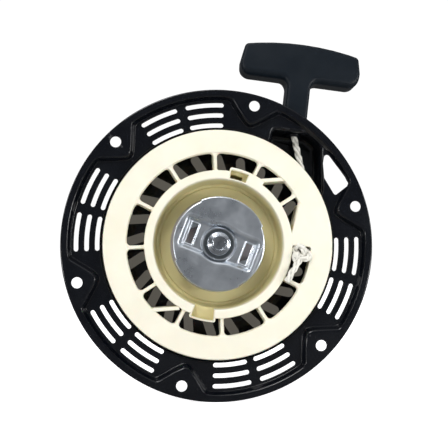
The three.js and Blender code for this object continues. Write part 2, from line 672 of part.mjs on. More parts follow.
function guideGeometry() {
  const back = GUIDE_FRONT + GUIDE_SHEET;
  const floor = GUIDE_FRONT + GUIDE_DEPTH;
  const plate = solid(revolved([
    [0, GUIDE_FRONT], [GUIDE_RADIUS, GUIDE_FRONT], [GUIDE_RADIUS, back], [0, back],
  ]));
  const skirts = SKIRT_ARCS.map(([from, to]) => solid(
    prism(ringSector(SKIRT_RADIUS - GUIDE_SHEET, SKIRT_RADIUS, from, to), GUIDE_FRONT, SKIRT_BACK, 6)));
  const axis = (geometry) => solid(turned(geometry, GUIDE_AXIS_ANGLE));
  const dish = bowTie(0).map((shape) => axis(prism(shape, GUIDE_FRONT + 0.3, floor + GUIDE_SHEET, 3)));
  const hollow = bowTie(-GUIDE_SHEET).map((shape) => axis(prism(shape, GUIDE_FRONT - 1, floor, 3)));
  const slots = [-1, 1].map((side) => axis(prism(polygon([
    [side * GUIDE_SLOT_START, -GUIDE_SLOT_HALF], [side * GUIDE_SLOT_END, -GUIDE_SLOT_HALF],
    [side * GUIDE_SLOT_END, GUIDE_SLOT_HALF], [side * GUIDE_SLOT_START, GUIDE_SLOT_HALF],
  ]), floor - 1, floor + 2)));
  const bore = solid(prism(disc(GUIDE_BORE), floor - 1, floor + 2, 10));
  return geometryOf(cut(joined(plate, ...skirts, ...dish), ...hollow, ...slots, bore));
}

// Wire ring that drags on the washer, with a leg that holds the guide back.
function frictionSpringGeometry() {
  const y = WASHER_FRONT - FRICTION_SPRING_WIRE;
  const ring = [40, 80, 120, 160, 200, 240, 280, 320].map((step) => {
    const [x, z] = polar(FRICTION_SPRING_RADIUS, GUIDE_AXIS_ANGLE + step);
    return [x, y, z];
  });
  const [legX, legZ] = polar(FRICTION_SPRING_LEG, GUIDE_AXIS_ANGLE - 10);
  return bar([...ring, [legX, y, legZ]], FRICTION_SPRING_WIRE / 2, 28, 3);
}

// ---- Grip, in the frame of the pull line ----

const BAR_FOOT = STEM_END + STEM_LENGTH;

function gripOutline() {
  const inset = GRIP_ROUNDING;
  const shape = new THREE.Shape();
  const stem = STEM_HALF_WIDTH - inset;
  const side = BAR_HALF_WIDTH - inset;
  const foot = BAR_FOOT + inset;
  const top = BAR_FOOT + BAR_HEIGHT - inset;
  const topCorner = [side - BAR_TAPER, BAR_FOOT + BAR_SHOULDER_HEIGHT - inset];
  shape.moveTo(-stem, STEM_END + inset);
  shape.lineTo(stem, STEM_END + inset);
  shape.lineTo(stem, foot - STEM_FILLET);
  shape.quadraticCurveTo(stem, foot, stem + STEM_FILLET, foot);
  shape.lineTo(side - BAR_CORNER, foot);
  shape.quadraticCurveTo(side, foot, side, foot + BAR_CORNER);
  shape.lineTo(...topCorner);
  shape.quadraticCurveTo(0, 2 * top - topCorner[1], -topCorner[0], topCorner[1]);
  shape.lineTo(-side, foot + BAR_CORNER);
  shape.quadraticCurveTo(-side, foot, BAR_CORNER - side, foot);
  shape.lineTo(-stem - STEM_FILLET, foot);
  shape.quadraticCurveTo(-stem, foot, -stem, foot - STEM_FILLET);
  return shape.closePath();
}

function gripGeometry() {
  const outer = new THREE.ExtrudeGeometry(gripOutline(), {
    depth: GRIP_THICKNESS - 2 * GRIP_ROUNDING, bevelEnabled: true, bevelThickness: GRIP_ROUNDING,
    bevelSize: GRIP_ROUNDING, bevelSegments: 2, curveSegments: 4,
  }).translate(0, 0, GRIP_ROUNDING - GRIP_THICKNESS / 2);
  const bore = new THREE.CylinderGeometry(GRIP_BORE, GRIP_BORE, 50, 16).translate(0, 20, 0);
  const side = 2 * KNOT_CHAMBER_HALF;
  const chamber = new THREE.BoxGeometry(side, side, side + 6)
    .translate(0, BAR_FOOT + KNOT_CHAMBER_FLOOR + KNOT_CHAMBER_HALF, -3);
  return geometryOf(cut(solid(outer), solid(bore), solid(chamber)));
}

function knotWasherGeometry() {
  const front = BAR_FOOT + KNOT_CHAMBER_FLOOR + 0.3;
  const back = front + KNOT_WASHER_THICKNESS;
  const bore = GRIP_BORE - 0.2;
  const radius = KNOT_CHAMBER_HALF - 1;
  return revolved([[bore, front], [radius, front], [radius, back], [bore, back]], 24);
}

const KNOT_CENTRE = BAR_FOOT + KNOT_CHAMBER_FLOOR + KNOT_WASHER_THICKNESS + 0.6 + KNOT_RADIUS;

function gripKnotGeometry() {
  return new THREE.SphereGeometry(KNOT_RADIUS, 12, 8).translate(0, KNOT_CENTRE, 0);
}

function ropePullGeometry() {
  const start = SHEET + 1.8;
  const end = KNOT_CENTRE - KNOT_RADIUS - 0.2;
  return new THREE.CylinderGeometry(ROPE_RADIUS, ROPE_RADIUS, end - start, 12)
    .translate(0, (start + end) / 2, 0);
}

// ---- Assembly ----

const group = new THREE.Group();

const fixed = new THREE.Group();
fixed.add(
  piece('starter_housing', housingGeometry(), BLACK_PAINT),
  piece('centre_post', centrePostGeometry(), ZINC_STEEL),
  piece('centre_screw', centreScrewGeometry(), BRIGHT_STEEL),
  piece('thrust_washer', thrustWasherGeometry(), ZINC_STEEL),
  piece('rope_lead', ropeLeadGeometry(), WHITE_ROPE),
  piece('main_spring', mainSpringGeometry(), SPRING_STEEL),
);

const reel = new THREE.Group();
reel.add(
  piece('rope_reel', reelGeometry(), CREAM_NYLON),
  piece('rope_winding', ropeWindingGeometry(), WHITE_ROPE),
  piece('reel_knot', reelKnotGeometry(), WHITE_ROPE),
);
Object.entries(PAWL_PIVOT_ANGLES).forEach(([name, angle]) => {
  reel.add(
    piece(name, placedPawl(pawlGeometry(), angle), ZINC_STEEL),
    piece(`${name}_return_spring`, returnSpringGeometry(angle), SPRING_STEEL),
  );
});

const clutch = new THREE.Group();
clutch.add(
  piece('ratchet_guide', guideGeometry(), ZINC_STEEL),
  piece('friction_spring', frictionSpringGeometry(), SPRING_STEEL),
);

pullLine.add(
  piece('rope_eyelet', eyeletGeometry(), BLACK_PAINT),
  piece('pull_grip', gripGeometry(), GRIP_PLASTIC),
  piece('knot_washer', knotWasherGeometry(), ZINC_STEEL),
  piece('grip_knot', gripKnotGeometry(), WHITE_ROPE),
  piece('rope_pull_end', ropePullGeometry(), WHITE_ROPE),
);

group.add(fixed, reel, clutch, pullLine);
group.position.y = -FACE_DEPTH;

export default group;
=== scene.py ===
"""Looks of a recoil (pull-rope) starter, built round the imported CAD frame.

Shapes are drawn in millimetres in the part's own drawing frame: the flange face lies in y = 0, the
engine is at -y, the reel turns about the y axis and +z is up. make_mesh() turns them into metres
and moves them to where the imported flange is. Angles are in degrees, counter-clockwise from +x
towards +z, as seen from the engine.
"""

import math

import bmesh
import bpy
import numpy as np
from mathutils import Matrix, Vector


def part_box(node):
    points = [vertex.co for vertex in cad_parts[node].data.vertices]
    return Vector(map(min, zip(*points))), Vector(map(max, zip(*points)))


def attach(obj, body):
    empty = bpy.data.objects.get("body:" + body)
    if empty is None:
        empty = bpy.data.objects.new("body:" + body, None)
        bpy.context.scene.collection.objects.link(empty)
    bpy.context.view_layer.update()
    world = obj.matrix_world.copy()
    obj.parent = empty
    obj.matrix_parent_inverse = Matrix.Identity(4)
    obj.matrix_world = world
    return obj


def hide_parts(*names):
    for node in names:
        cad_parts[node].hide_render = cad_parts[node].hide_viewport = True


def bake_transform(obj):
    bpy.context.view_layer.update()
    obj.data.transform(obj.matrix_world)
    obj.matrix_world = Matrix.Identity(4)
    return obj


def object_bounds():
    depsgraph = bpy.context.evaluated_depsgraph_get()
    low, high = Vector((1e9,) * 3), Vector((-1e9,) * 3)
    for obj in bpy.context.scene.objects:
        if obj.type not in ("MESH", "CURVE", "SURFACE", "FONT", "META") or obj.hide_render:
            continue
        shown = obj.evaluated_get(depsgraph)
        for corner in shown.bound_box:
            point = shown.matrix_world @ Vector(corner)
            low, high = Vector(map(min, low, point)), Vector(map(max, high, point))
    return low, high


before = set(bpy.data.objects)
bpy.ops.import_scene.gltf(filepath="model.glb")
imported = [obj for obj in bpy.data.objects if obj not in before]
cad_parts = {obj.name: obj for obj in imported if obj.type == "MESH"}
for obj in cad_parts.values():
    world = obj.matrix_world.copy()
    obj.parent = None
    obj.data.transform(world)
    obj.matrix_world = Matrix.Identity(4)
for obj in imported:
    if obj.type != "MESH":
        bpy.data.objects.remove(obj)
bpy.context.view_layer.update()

# ---- Dimensions, in millimetres and degrees ----

MM = 0.001
FLANGE_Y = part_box("starter_housing")[0].y
FLOOR_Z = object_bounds()[0].z

# Housing
SHEET = 1.5
RIM_RADIUS = 98.8
RECESS_RADIUS = 95.4
RECESS_DEPTH = 4.0
RECESS_FILLET = 1.5
RECESS_FOOT_FILLET = 0.7
RECESS_SLOPE = math.radians(66)
RIM_FLAT_FROM = 97.9
DRUM_RADIUS = 73.6
DRUM_LIP = 1.6
FACE_DEPTH = 42.0
FACE_CORNER = 6.0
BOLT_CIRCLE = 91.5
BOLT_HOLE = 3.5
BOLT_ANGLES = [15 + 60 * i for i in range(6)]
PAD_APEX = 78.2
PAD_ROUND = 3.3
SLOT_ROWS = [76.4, 83.0, 89.6]
SLOT_HALF_WIDTH = 1.45
SLOT_HALF_ANGLE = 7.0
SLOT_OFFSET = 9.75
SLOTTED_SECTORS = [105, 165, 225, 285, 345]
VENT_COUNT = 24
VENT_RADIUS = 55.0
VENT_FIRST = 10.4
VENT_SLANT = 22.5
VENT_HALF_LENGTH = 9.0
VENT_HALF_WIDTH = 3.1

# Rope exit, rope and grip
PULL_TILT = math.radians(7)
EXIT = np.array([50.25, 15.0, 72.6])
POCKET_DEPTH = 24.0
POCKET_RADIUS = 93.5
POCKET_SIDE = 67.3
POCKET_LEFT = 36.5
POCKET_MOUTH = 2.8
POCKET_FOOT = 4
EYELET_OFFSET = 1.2
ROPE_RADIUS = 2.25
ROPE_TANGENT = 64.65
ROPE_LEAD_START = 69.6
ROPE_GROOVE_Y = 11.0
ROPE_PULL_START = 3.3
BAR_FOOT = 34.5
BAR_HEIGHT = 24.3
STEM_END = 5.2
STEM_HALF = 7.6
GRIP_HALF_THICKNESS = 9.0
CHAMBER_HALF = 7.2
CHAMBER_FLOOR = 3.5
KNOT_HEIGHT = BAR_FOOT + CHAMBER_FLOOR + 7

# Reel
REEL_FRONT = -1.5
REEL_RADIUS = 72.6
WINDOW_OUTER = 57.9
PLATE_BACK = 3.0
DRUM_INNER = 60.9
DRUM_OUTER = 62.4
RING_RADIUS = 46.9
CUP_RADIUS = 41.3
HUB_BORE = 7.3
HUB_RADIUS = 11.0
PLATFORM_RADIUS = 30.0
CHAMBER_RADIUS = 43.5
REEL_BACK = 36.0
SPOKE_FRONT = -0.6
SPOKE_HALF = 1.15
SPOKE_FIRST = 2
WEB_BACK = 16.0
BULGES = [(53, 81), (247, 267)]
PAWL_ANGLES = [109, 289]
PAWL_PIVOT_RADIUS = 20.5

# Guide plate
GUIDE_FRONT = -4.0
GUIDE_RADIUS = 29.4
GUIDE_AXIS = math.radians(158.5)
SKIRT_RADIUS = 29.9
SKIRT_ARCS = [(20, 113), (200, 295)]
BOW_HALF_LENGTH = 25.0
BOW_HALF_WIDTH = 10.8
BULGE_RADIUS = 12.6
WELL_RADIUS = 11.5
RELIEF_DEPTH = 2.4
WALL_FILLET = 1.6
SLOT_MIDDLE = 18.2
SLOT_HALF = (2.1, 6.5)
GUIDE_BORE = 5.4
# Radius of the painted shade round the centre bolt.
BOLT_SHADE_RADIUS = 10.0


# ---- Outlines ----


def polar(radius, degrees):
    angle = math.radians(degrees)
    return radius * math.cos(angle), radius * math.sin(angle)


def arc(radius, start, end, count, centre=(0, 0)):
    """Points along a circular arc, angles in degrees."""
    points = [polar(radius, angle) for angle in np.linspace(start, end, count)]
    return [(centre[0] + a, centre[1] + b) for a, b in points]


def rounded(corners, steps=5):
    """A closed outline. Each corner is (a, b) or (a, b, fillet radius)."""
    path = []
    for i, corner in enumerate(corners):
        point = np.array(corner[:2], float)
        if len(corner) < 3:
            path.append(point)
            continue
        before = np.array(corners[i - 1][:2], float) - point
        after = np.array(corners[(i + 1) % len(corners)][:2], float) - point
        before /= np.linalg.norm(before)
        after /= np.linalg.norm(after)
        half = math.acos(np.clip(before @ after, -1, 1)) / 2
        middle = (before + after) / np.linalg.norm(before + after)
        centre = point + middle * corner[2] / math.sin(half)
        reach = corner[2] / math.tan(half)
        start = point + before * reach - centre
        end = point + after * reach - centre
        turn = math.atan2(start[0] * end[1] - start[1] * end[0], start @ end)
        for share in np.linspace(0, 1, steps + 1):
            c, s = math.cos(turn * share), math.sin(turn * share)
            path.append(centre + [c * start[0] - s * start[1], s * start[0] + c * start[1]])
    return np.array(path)


def outward_normals(outline):
    """Unit normals of a closed outline, pointing out of it."""
    along = np.roll(outline, -1, axis=0) - np.roll(outline, 1, axis=0)
    along /= np.linalg.norm(along, axis=1)[:, None]
    normals = np.stack([along[:, 1], -along[:, 0]], axis=1)
    after = np.roll(outline, -1, axis=0)
    area = np.sum(outline[:, 0] * after[:, 1] - after[:, 0] * outline[:, 1])
    return normals * np.sign(area)


def ring_sector(inner, outer, start, end, corner):
    """A sector of a ring with rounded corners."""
    inset = 4
    count = max(3, int((end - start) / 3))
    outer_arc = arc(outer, start + inset, end - inset, count)
    inner_arc = arc(inner, end - inset, start + inset, count)
    if end - start < 3 * inset:
        outer_arc = [polar(outer, (start + end) / 2)]
        inner_arc = [polar(inner, (start + end) / 2)]
    return rounded([
        (*polar(outer, start), corner), *outer_arc, (*polar(outer, end), corner),
        (*polar(inner, end), corner), *inner_arc, (*polar(inner, start), corner),
    ])


def curved_slot(radius, half_width, half_angle, middle):
    """A slot with round ends that follows a circle about the reel axis."""
    ends = [polar(radius, middle - half_angle), polar(radius, middle + half_angle)]
    first, last = middle - half_angle, middle + half_angle
    return np.array(
        arc(radius + half_width, first, last, 7)
        + arc(half_width, last + 15, last + 165, 9, ends[1])
        + arc(radius - half_width, last, first, 7)
        + arc(half_width, first + 195, first + 345, 9, ends[0])
    )


def straight_slot(half_length, half_width, degrees, centre):
    """A straight slot with round ends, its long axis turned by degrees."""
    run = half_length - half_width
    right = (centre[0] + polar(run, degrees)[0], centre[1] + polar(run, degrees)[1])
    left = (centre[0] - polar(run, degrees)[0], centre[1] - polar(run, degrees)[1])
    return np.array(
        arc(half_width, degrees - 90, degrees + 90, 9, right)
        + arc(half_width, degrees + 90, degrees + 270, 9, left)
    )


# ---- Meshes ----


def grid_faces(rows, columns, wrap_rows=False, wrap_columns=True):
    """Quads over a grid of points numbered row by row."""
    row = np.arange(rows if wrap_rows else rows - 1)[:, None]
    column = np.arange(columns if wrap_columns else columns - 1)[None, :]
    next_row = (row + 1) % rows
    next_column = (column + 1) % columns
    corners = [
        row * columns + column,
        row * columns + next_column,
        next_row * columns + next_column,
        next_row * columns + column,
    ]
    return np.stack(np.broadcast_arrays(*corners), axis=-1).reshape(-1, 4).tolist()


def make_mesh(name, points, faces, crease=38, to_frame=True):
    """A new object from points in drawing millimetres."""
    points = np.asarray(points, float).reshape(-1, 3)
    if to_frame:
        points = points * MM + [0, FLANGE_Y, 0]
    mesh = bpy.data.meshes.new(name)
    mesh.from_pydata(points.tolist(), [], faces)
    work = bmesh.new()
    work.from_mesh(mesh)
    bmesh.ops.remove_doubles(work, verts=work.verts, dist=1e-7)
    bmesh.ops.recalc_face_normals(work, faces=work.faces)
    work.to_mesh(mesh)
    work.free()
    obj = bpy.data.objects.new(name, mesh)
    bpy.context.scene.collection.objects.link(obj)
    shade(obj, crease)
    return obj


def shade(obj, crease=38):
    """Smooth shading with sharp edges where faces meet at more than crease degrees."""
    obj.data.shade_smooth()
    obj.data.set_sharp_from_angle(angle=math.radians(crease))


def revolve(name, profile, steps=180, place=None, crease=38):
    """A ring or solid of revolution about the y axis. The profile is a closed loop of (radius, y)."""
    profile = np.asarray(profile, float)
    angles = np.arange(steps) * 2 * math.pi / steps
    points = np.empty((steps, len(profile), 3))
    points[:, :, 0] = np.cos(angles)[:, None] * profile[None, :, 0]
    points[:, :, 1] = profile[None, :, 1]
    points[:, :, 2] = np.sin(angles)[:, None] * profile[None, :, 0]
    points = points.reshape(-1, 3)
    if place:
        points = place(points)
    return make_mesh(name, points, grid_faces(steps, len(profile), wrap_rows=True), crease)


def stack(name, outline, sections, place=None, crease=38):
    """A closed solid: the outline in (x, z), grown by each section's offset at its y.

    An offset is one number, or one number per outline point.
    """
    normals = outward_normals(outline)
    rings = []
    for offset, y in sections:
        grown = outline + normals * np.reshape(offset, (-1, 1))
        depth = np.broadcast_to(y, len(outline))
        rings.append(np.stack([grown[:, 0], depth, grown[:, 1]], axis=1))
    count = len(outline)
    faces = grid_faces(len(sections), count)
    faces.append(list(range(count)))
    faces.append(list(range((len(sections) - 1) * count, len(sections) * count)))
    points = np.concatenate(rings)
    if place:
        points = place(points)
    return make_mesh(name, points, faces, crease)


def prism(name, outline, near, far, place=None):
    return stack(name, np.asarray(outline, float), [(0, near), (0, far)], place)


def boss(name, outline, near, far, radius):
    """A prism whose near edge is rounded."""
    edge = [(-radius * (1 - math.sin(a)), near + radius * (1 - math.cos(a)))
            for a in np.radians([0, 22.5, 45, 67.5, 90])]
    return stack(name, outline, edge + [(0, far)])


def combine(target, other, operation):
    """Joins or cuts target with other, which is used up."""
    modifier = target.modifiers.new(operation, "BOOLEAN")
    modifier.object = other
    modifier.operation = operation
    modifier.solver = "MANIFOLD"
    bpy.context.view_layer.update()
    evaluated = target.evaluated_get(bpy.context.evaluated_depsgraph_get())
    result = bpy.data.meshes.new_from_object(evaluated)
    target.modifiers.clear()
    if len(result.polygons) == 0:
        raise RuntimeError(f"{operation} of {target.name} with {other.name} left nothing")
    target.data = result
    bpy.data.objects.remove(other)


def fuse(target, *others):
    for other in others:
        combine(target, other, "UNION")


def carve(target, *cutters):
    for cutter in cutters:
        combine(target, cutter, "DIFFERENCE")


def flatten_normals(obj, crease=38):
    """Keeps flat areas flat next to fillets, after booleans."""
    shade(obj, crease)
    modifier = obj.modifiers.new("normals", "WEIGHTED_NORMAL")
    modifier.keep_sharp = True
    modifier.weight = 80


def smoothstep(t):
    t = np.clip(t, 0, 1)
    return t * t * (3 - 2 * t)


def on_pull_line(points):
    """From the upright frame at the rope exit to the drawing frame.

    There y runs along the pulled rope, x along the grip's bar, and z back at the engine.
    """
    c, s = math.cos(PULL_TILT), math.sin(PULL_TILT)
    axes = np.array([[c, 0, -s], [s, 0, c], [0, -1, 0]])
    return np.asarray(points, float).reshape(-1, 3) @ axes + EXIT


def on_eyelet_line(points):
    """The same frame, moved along the grip's bar to the middle of the eyelet."""
    return on_pull_line(np.asarray(points, float).reshape(-1, 3) + [EYELET_OFFSET, 0, 0])


# ---- Materials ----


class Look:
    """Builds one node material round a Principled shader."""

    def __init__(self, name):
        self.material = bpy.data.materials.new(name)
        self.material.use_nodes = True
        self.tree = self.material.node_tree
        self.shader = self.tree.nodes["Principled BSDF"]
        coordinates = self.tree.nodes.new("ShaderNodeTexCoord")
        self.position = coordinates.outputs["Object"]

    def node(self, kind, inputs=None, **settings):
        made = self.tree.nodes.new(kind)
        for key, value in settings.items():
            setattr(made, key, value)
        for key, value in (inputs or {}).items():
            self.feed(made.inputs[key], value)
        return made

    def feed(self, socket, value):
        if isinstance(value, bpy.types.NodeSocket):
            self.tree.links.new(value, socket)
        else:
            socket.default_value = value

    def math(self, operation, a, b=0.0, clamp=False):
        made = self.node("ShaderNodeMath", operation=operation, use_clamp=clamp)
        self.feed(made.inputs[0], a)
        self.feed(made.inputs[1], b)
        return made.outputs[0]

    def noise(self, scale, detail=4.0, roughness=0.55, vector=None):
        made = self.node("ShaderNodeTexNoise", {
            "Vector": vector or self.position, "Scale": scale, "Detail": detail,
            "Roughness": roughness,
        })
        return made.outputs["Fac"]

    def spread(self, value, low, high, to_low=0.0, to_high=1.0):
        made = self.node("ShaderNodeMapRange", {
            "Value": value, "From Min": low, "From Max": high, "To Min": to_low,
            "To Max": to_high,
        })
        return made.outputs["Result"]

    def mix(self, share, first, second):
        made = self.node("ShaderNodeMix", data_type="RGBA")
        self.feed(made.inputs[0], share)
        for socket, value in ((made.inputs[6], first), (made.inputs[7], second)):
            if isinstance(value, bpy.types.NodeSocket):
                self.tree.links.new(value, socket)
            else:
                socket.default_value = (*value, 1)
        return made.outputs[2]

    def parts(self):
        """The x, y and z of a point in the frame, in metres."""
        split = self.node("ShaderNodeSeparateXYZ", {"Vector": self.position})
        return [split.outputs[i] for i in range(3)]

    def axis_distance(self):
        """How far a point is from the reel's axis, in metres."""
        x, _, z = self.parts()
        return self.math("SQRT", self.math("ADD", self.math("MULTIPLY", x, x), self.math("MULTIPLY", z, z)))

    def stretched(self, scale):
        made = self.node("ShaderNodeMapping", {"Vector": self.position, "Scale": scale})
        return made.outputs[0]

    def bump(self, height, distance, strength=1.0, before=None):
        inputs = {"Height": height, "Distance": distance, "Strength": strength}
        if before:
            inputs["Normal"] = before
        return self.node("ShaderNodeBump", inputs).outputs["Normal"]

    def edges(self):
        """Near 1 on worn convex edges."""
        made = self.node("ShaderNodeNewGeometry")
        return self.spread(made.outputs["Pointiness"], 0.52, 0.6)

    def finish(self, **inputs):
        for key, value in inputs.items():
            socket = self.shader.inputs[key.replace("_", " ")]
            if isinstance(value, tuple):
                value = (*value, 1)
            self.feed(socket, value)
        return self.material


def black_paint():
    look = Look("black_paint")
    mottle = look.noise(60, 3)
    dust = look.spread(look.noise(900, 6, 0.7), 0.62, 0.75)
    # Lighter grey on convex edges: partly rubbed paint, partly a painted highlight along the edges.
    scuffs = look.math("MULTIPLY", look.edges(), look.spread(look.noise(260, 5), 0.5, 0.62), True)
    base = look.mix(look.spread(mottle, 0.35, 0.65), (0.0018, 0.0024, 0.0042), (0.0034, 0.0042, 0.0062))
    base = look.mix(look.math("MULTIPLY", dust, 0.12), base, (0.16, 0.155, 0.15))
    base = look.mix(look.math("MULTIPLY", scuffs, 0.35), base, (0.12, 0.12, 0.125))
    orange_peel = look.bump(look.noise(700, 2, 0.4), 0.00003, 0.5)
    return look.finish(
        Base_Color=base, Roughness=look.spread(mottle, 0.3, 0.7, 0.11, 0.19), Normal=orange_peel,
        Specular_IOR_Level=0.36,
    )


def cream_nylon():
    look = Look("cream_nylon")
    cloud = look.noise(45, 3)
    grain = look.noise(1400, 3, 0.6)
    base = look.mix(look.spread(cloud, 0.3, 0.7), (0.775, 0.74, 0.61), (0.81, 0.78, 0.655))
    specks = look.spread(look.noise(420, 5, 0.7), 0.68, 0.78)
    base = look.mix(look.math("MULTIPLY", specks, 0.2), base, (0.5, 0.42, 0.26))
    y = look.parts()[1]
    radius = look.axis_distance()
    # Painted shade: inside the ring the reel turns a darker, warmer tan the deeper it lies behind its
    # front.
    depth = look.spread(y, FLANGE_Y + (REEL_FRONT + 0.4) * MM, FLANGE_Y + 3.5 * MM)
    inside = look.spread(radius, 50 * MM, 49 * MM)
    base = look.mix(look.math("MULTIPLY", depth, inside), base, (0.60, 0.53, 0.265))
    # Painted shade: behind the guide plate the reel is painted dark grey.
    painted_shade = look.math("MULTIPLY", look.spread(radius, 31 * MM, 30 * MM),
                       look.spread(y, FLANGE_Y + 6 * MM, FLANGE_Y + 8 * MM))
    base = look.mix(painted_shade, base, (0.30, 0.285, 0.31))
    return look.finish(
        Base_Color=base, Roughness=look.spread(cloud, 0.3, 0.7, 0.34, 0.48),
        Normal=look.bump(grain, 0.00002, 0.35), Subsurface_Weight=0.12, Subsurface_Scale=0.0015,
    )


def zinc_steel():
    look = Look("zinc_steel")
    spangle = look.node("ShaderNodeTexVoronoi", {"Vector": look.position, "Scale": 330.0})
    brushing = look.noise(1.0, 4, 0.6, look.stretched((2600, 90, 260)))
    cloud = look.noise(120, 4)
    tone = look.math("ADD", look.math("MULTIPLY", cloud, 0.7),
                     look.math("MULTIPLY", look.spread(spangle.outputs["Distance"], 0, 1), 0.3))
    base = look.mix(look.spread(tone, 0.3, 0.75), (0.62, 0.665, 0.72), (0.71, 0.75, 0.80))
    # Painted shade: within this radius of the axis the zinc is painted dark, round the centre bolt.
    painted_shade = look.spread(look.axis_distance(), BOLT_SHADE_RADIUS * MM, (BOLT_SHADE_RADIUS - 0.8) * MM)
    base = look.mix(look.math("MULTIPLY", painted_shade, 0.85), base, (0.10, 0.12, 0.13))
    return look.finish(
        Base_Color=base, Metallic=1.0, Roughness=look.spread(cloud, 0.3, 0.7, 0.26, 0.36),
        Normal=look.bump(brushing, 0.00001, 0.5),
    )


def plain_metal(name, cloud_scale, dark, light, smooth, rough, grain_scale, grain_strength):
    look = Look(name)
    cloud = look.noise(cloud_scale, 4)
    return look.finish(
        Base_Color=look.mix(look.spread(cloud, 0.3, 0.7), dark, light), Metallic=1.0,
        Roughness=look.spread(cloud, 0.3, 0.7, smooth, rough),
        Normal=look.bump(look.noise(grain_scale, 2), 0.00001, grain_strength),
    )


def white_rope():
    look = Look("white_rope")
    cloud = look.noise(160, 4)
    fibres = look.noise(1.0, 3, 0.6, look.stretched((3200, 3200, 700)))
    base = look.mix(look.spread(cloud, 0.3, 0.7), (0.72, 0.70, 0.62), (0.84, 0.82, 0.76))
    base = look.mix(look.spread(fibres, 0.55, 0.75, 0, 0.3), base, (0.45, 0.43, 0.38))
    shape = look.node("ShaderNodeNewGeometry")
    # Painted shade: where the braid's surface hollows inward, the rope is painted dark.
    groove_shade = look.spread(shape.outputs["Pointiness"], 0.51, 0.465)
    base = look.mix(look.math("MULTIPLY", groove_shade, 0.72), base, (0.19, 0.185, 0.17))
    return look.finish(
        Base_Color=base, Roughness=look.spread(fibres, 0.3, 0.7, 0.75, 0.95), Sheen_Weight=0.3,
        Normal=look.bump(fibres, 0.00012, 0.7),
    )


def grip_plastic():
    look = Look("grip_plastic")
    cloud = look.noise(50, 3)
    grain = look.noise(1700, 3, 0.6)
    base = look.mix(look.spread(cloud, 0.3, 0.7), (0.0034, 0.0066, 0.0108), (0.0050, 0.0084, 0.0128))
    scuffs = look.math("MULTIPLY", look.edges(), look.spread(look.noise(300, 5), 0.5, 0.65), True)
    base = look.mix(look.math("MULTIPLY", scuffs, 0.4), base, (0.07, 0.075, 0.08))
    return look.finish(
        Base_Color=base, Roughness=look.spread(cloud, 0.3, 0.7, 0.36, 0.46),
        Normal=look.bump(grain, 0.00003, 0.35), Specular_IOR_Level=0.22,
    )


LOOKS = {
    "black_paint": black_paint(),
    "cream_nylon": cream_nylon(),
    "zinc_steel": zinc_steel(),
    "bright_zinc": plain_metal("bright_zinc", 300, (0.40, 0.43, 0.47), (0.54, 0.57, 0.61), 0.14, 0.26,
                               1500, 0.3),
    "spring_steel": plain_metal("spring_steel", 200, (0.10, 0.11, 0.13), (0.20, 0.21, 0.23), 0.28,
                                0.42, 1800, 0.4),
    "white_rope": white_rope(),
    "grip_plastic": grip_plastic(),
}


def settle(obj, body, look, *nodes):
    """Gives a piece its material and body, and lets it stand for the CAD nodes."""
    obj.data.materials.clear()
    obj.data.materials.append(LOOKS[look])
    if body:
        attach(obj, body)
    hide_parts(*nodes)


# ---- Housing ----


def recess_distance(radius, angle):
    """How far a point of the shoulder lies inside the recess, clear of the rim and the bolt pads."""
    sharpness = 1.5
    total = np.exp(-sharpness * (RECESS_RADIUS - radius))
    for bolt in np.radians(BOLT_ANGLES):
        away = (angle - bolt + math.pi) % (2 * math.pi) - math.pi
        along = radius * np.cos(away)
        across = radius * np.sin(away)
        gap = (PAD_APEX + np.hypot(across, PAD_ROUND) - along) / math.sqrt(2)
        total += np.where(abs(away) < 1.2, np.exp(-sharpness * np.clip(gap, -8, 60)), 0)
    return -np.log(total) / sharpness


def recess(distance):
    """Depth of the recess by the distance inside it: rounded edge, straight slope, rounded foot."""
    edge = RECESS_FILLET * math.sin(RECESS_SLOPE)
    depth = RECESS_FILLET - np.sqrt(RECESS_FILLET ** 2 - np.clip(distance, 0, edge) ** 2)
    depth = depth + np.clip(distance - edge, 0, None) * math.tan(RECESS_SLOPE)
    turn = RECESS_FOOT_FILLET / 4
    short = (RECESS_DEPTH - depth) / turn
    return RECESS_DEPTH - turn * np.log1p(np.exp(np.clip(short, -30, 30)))


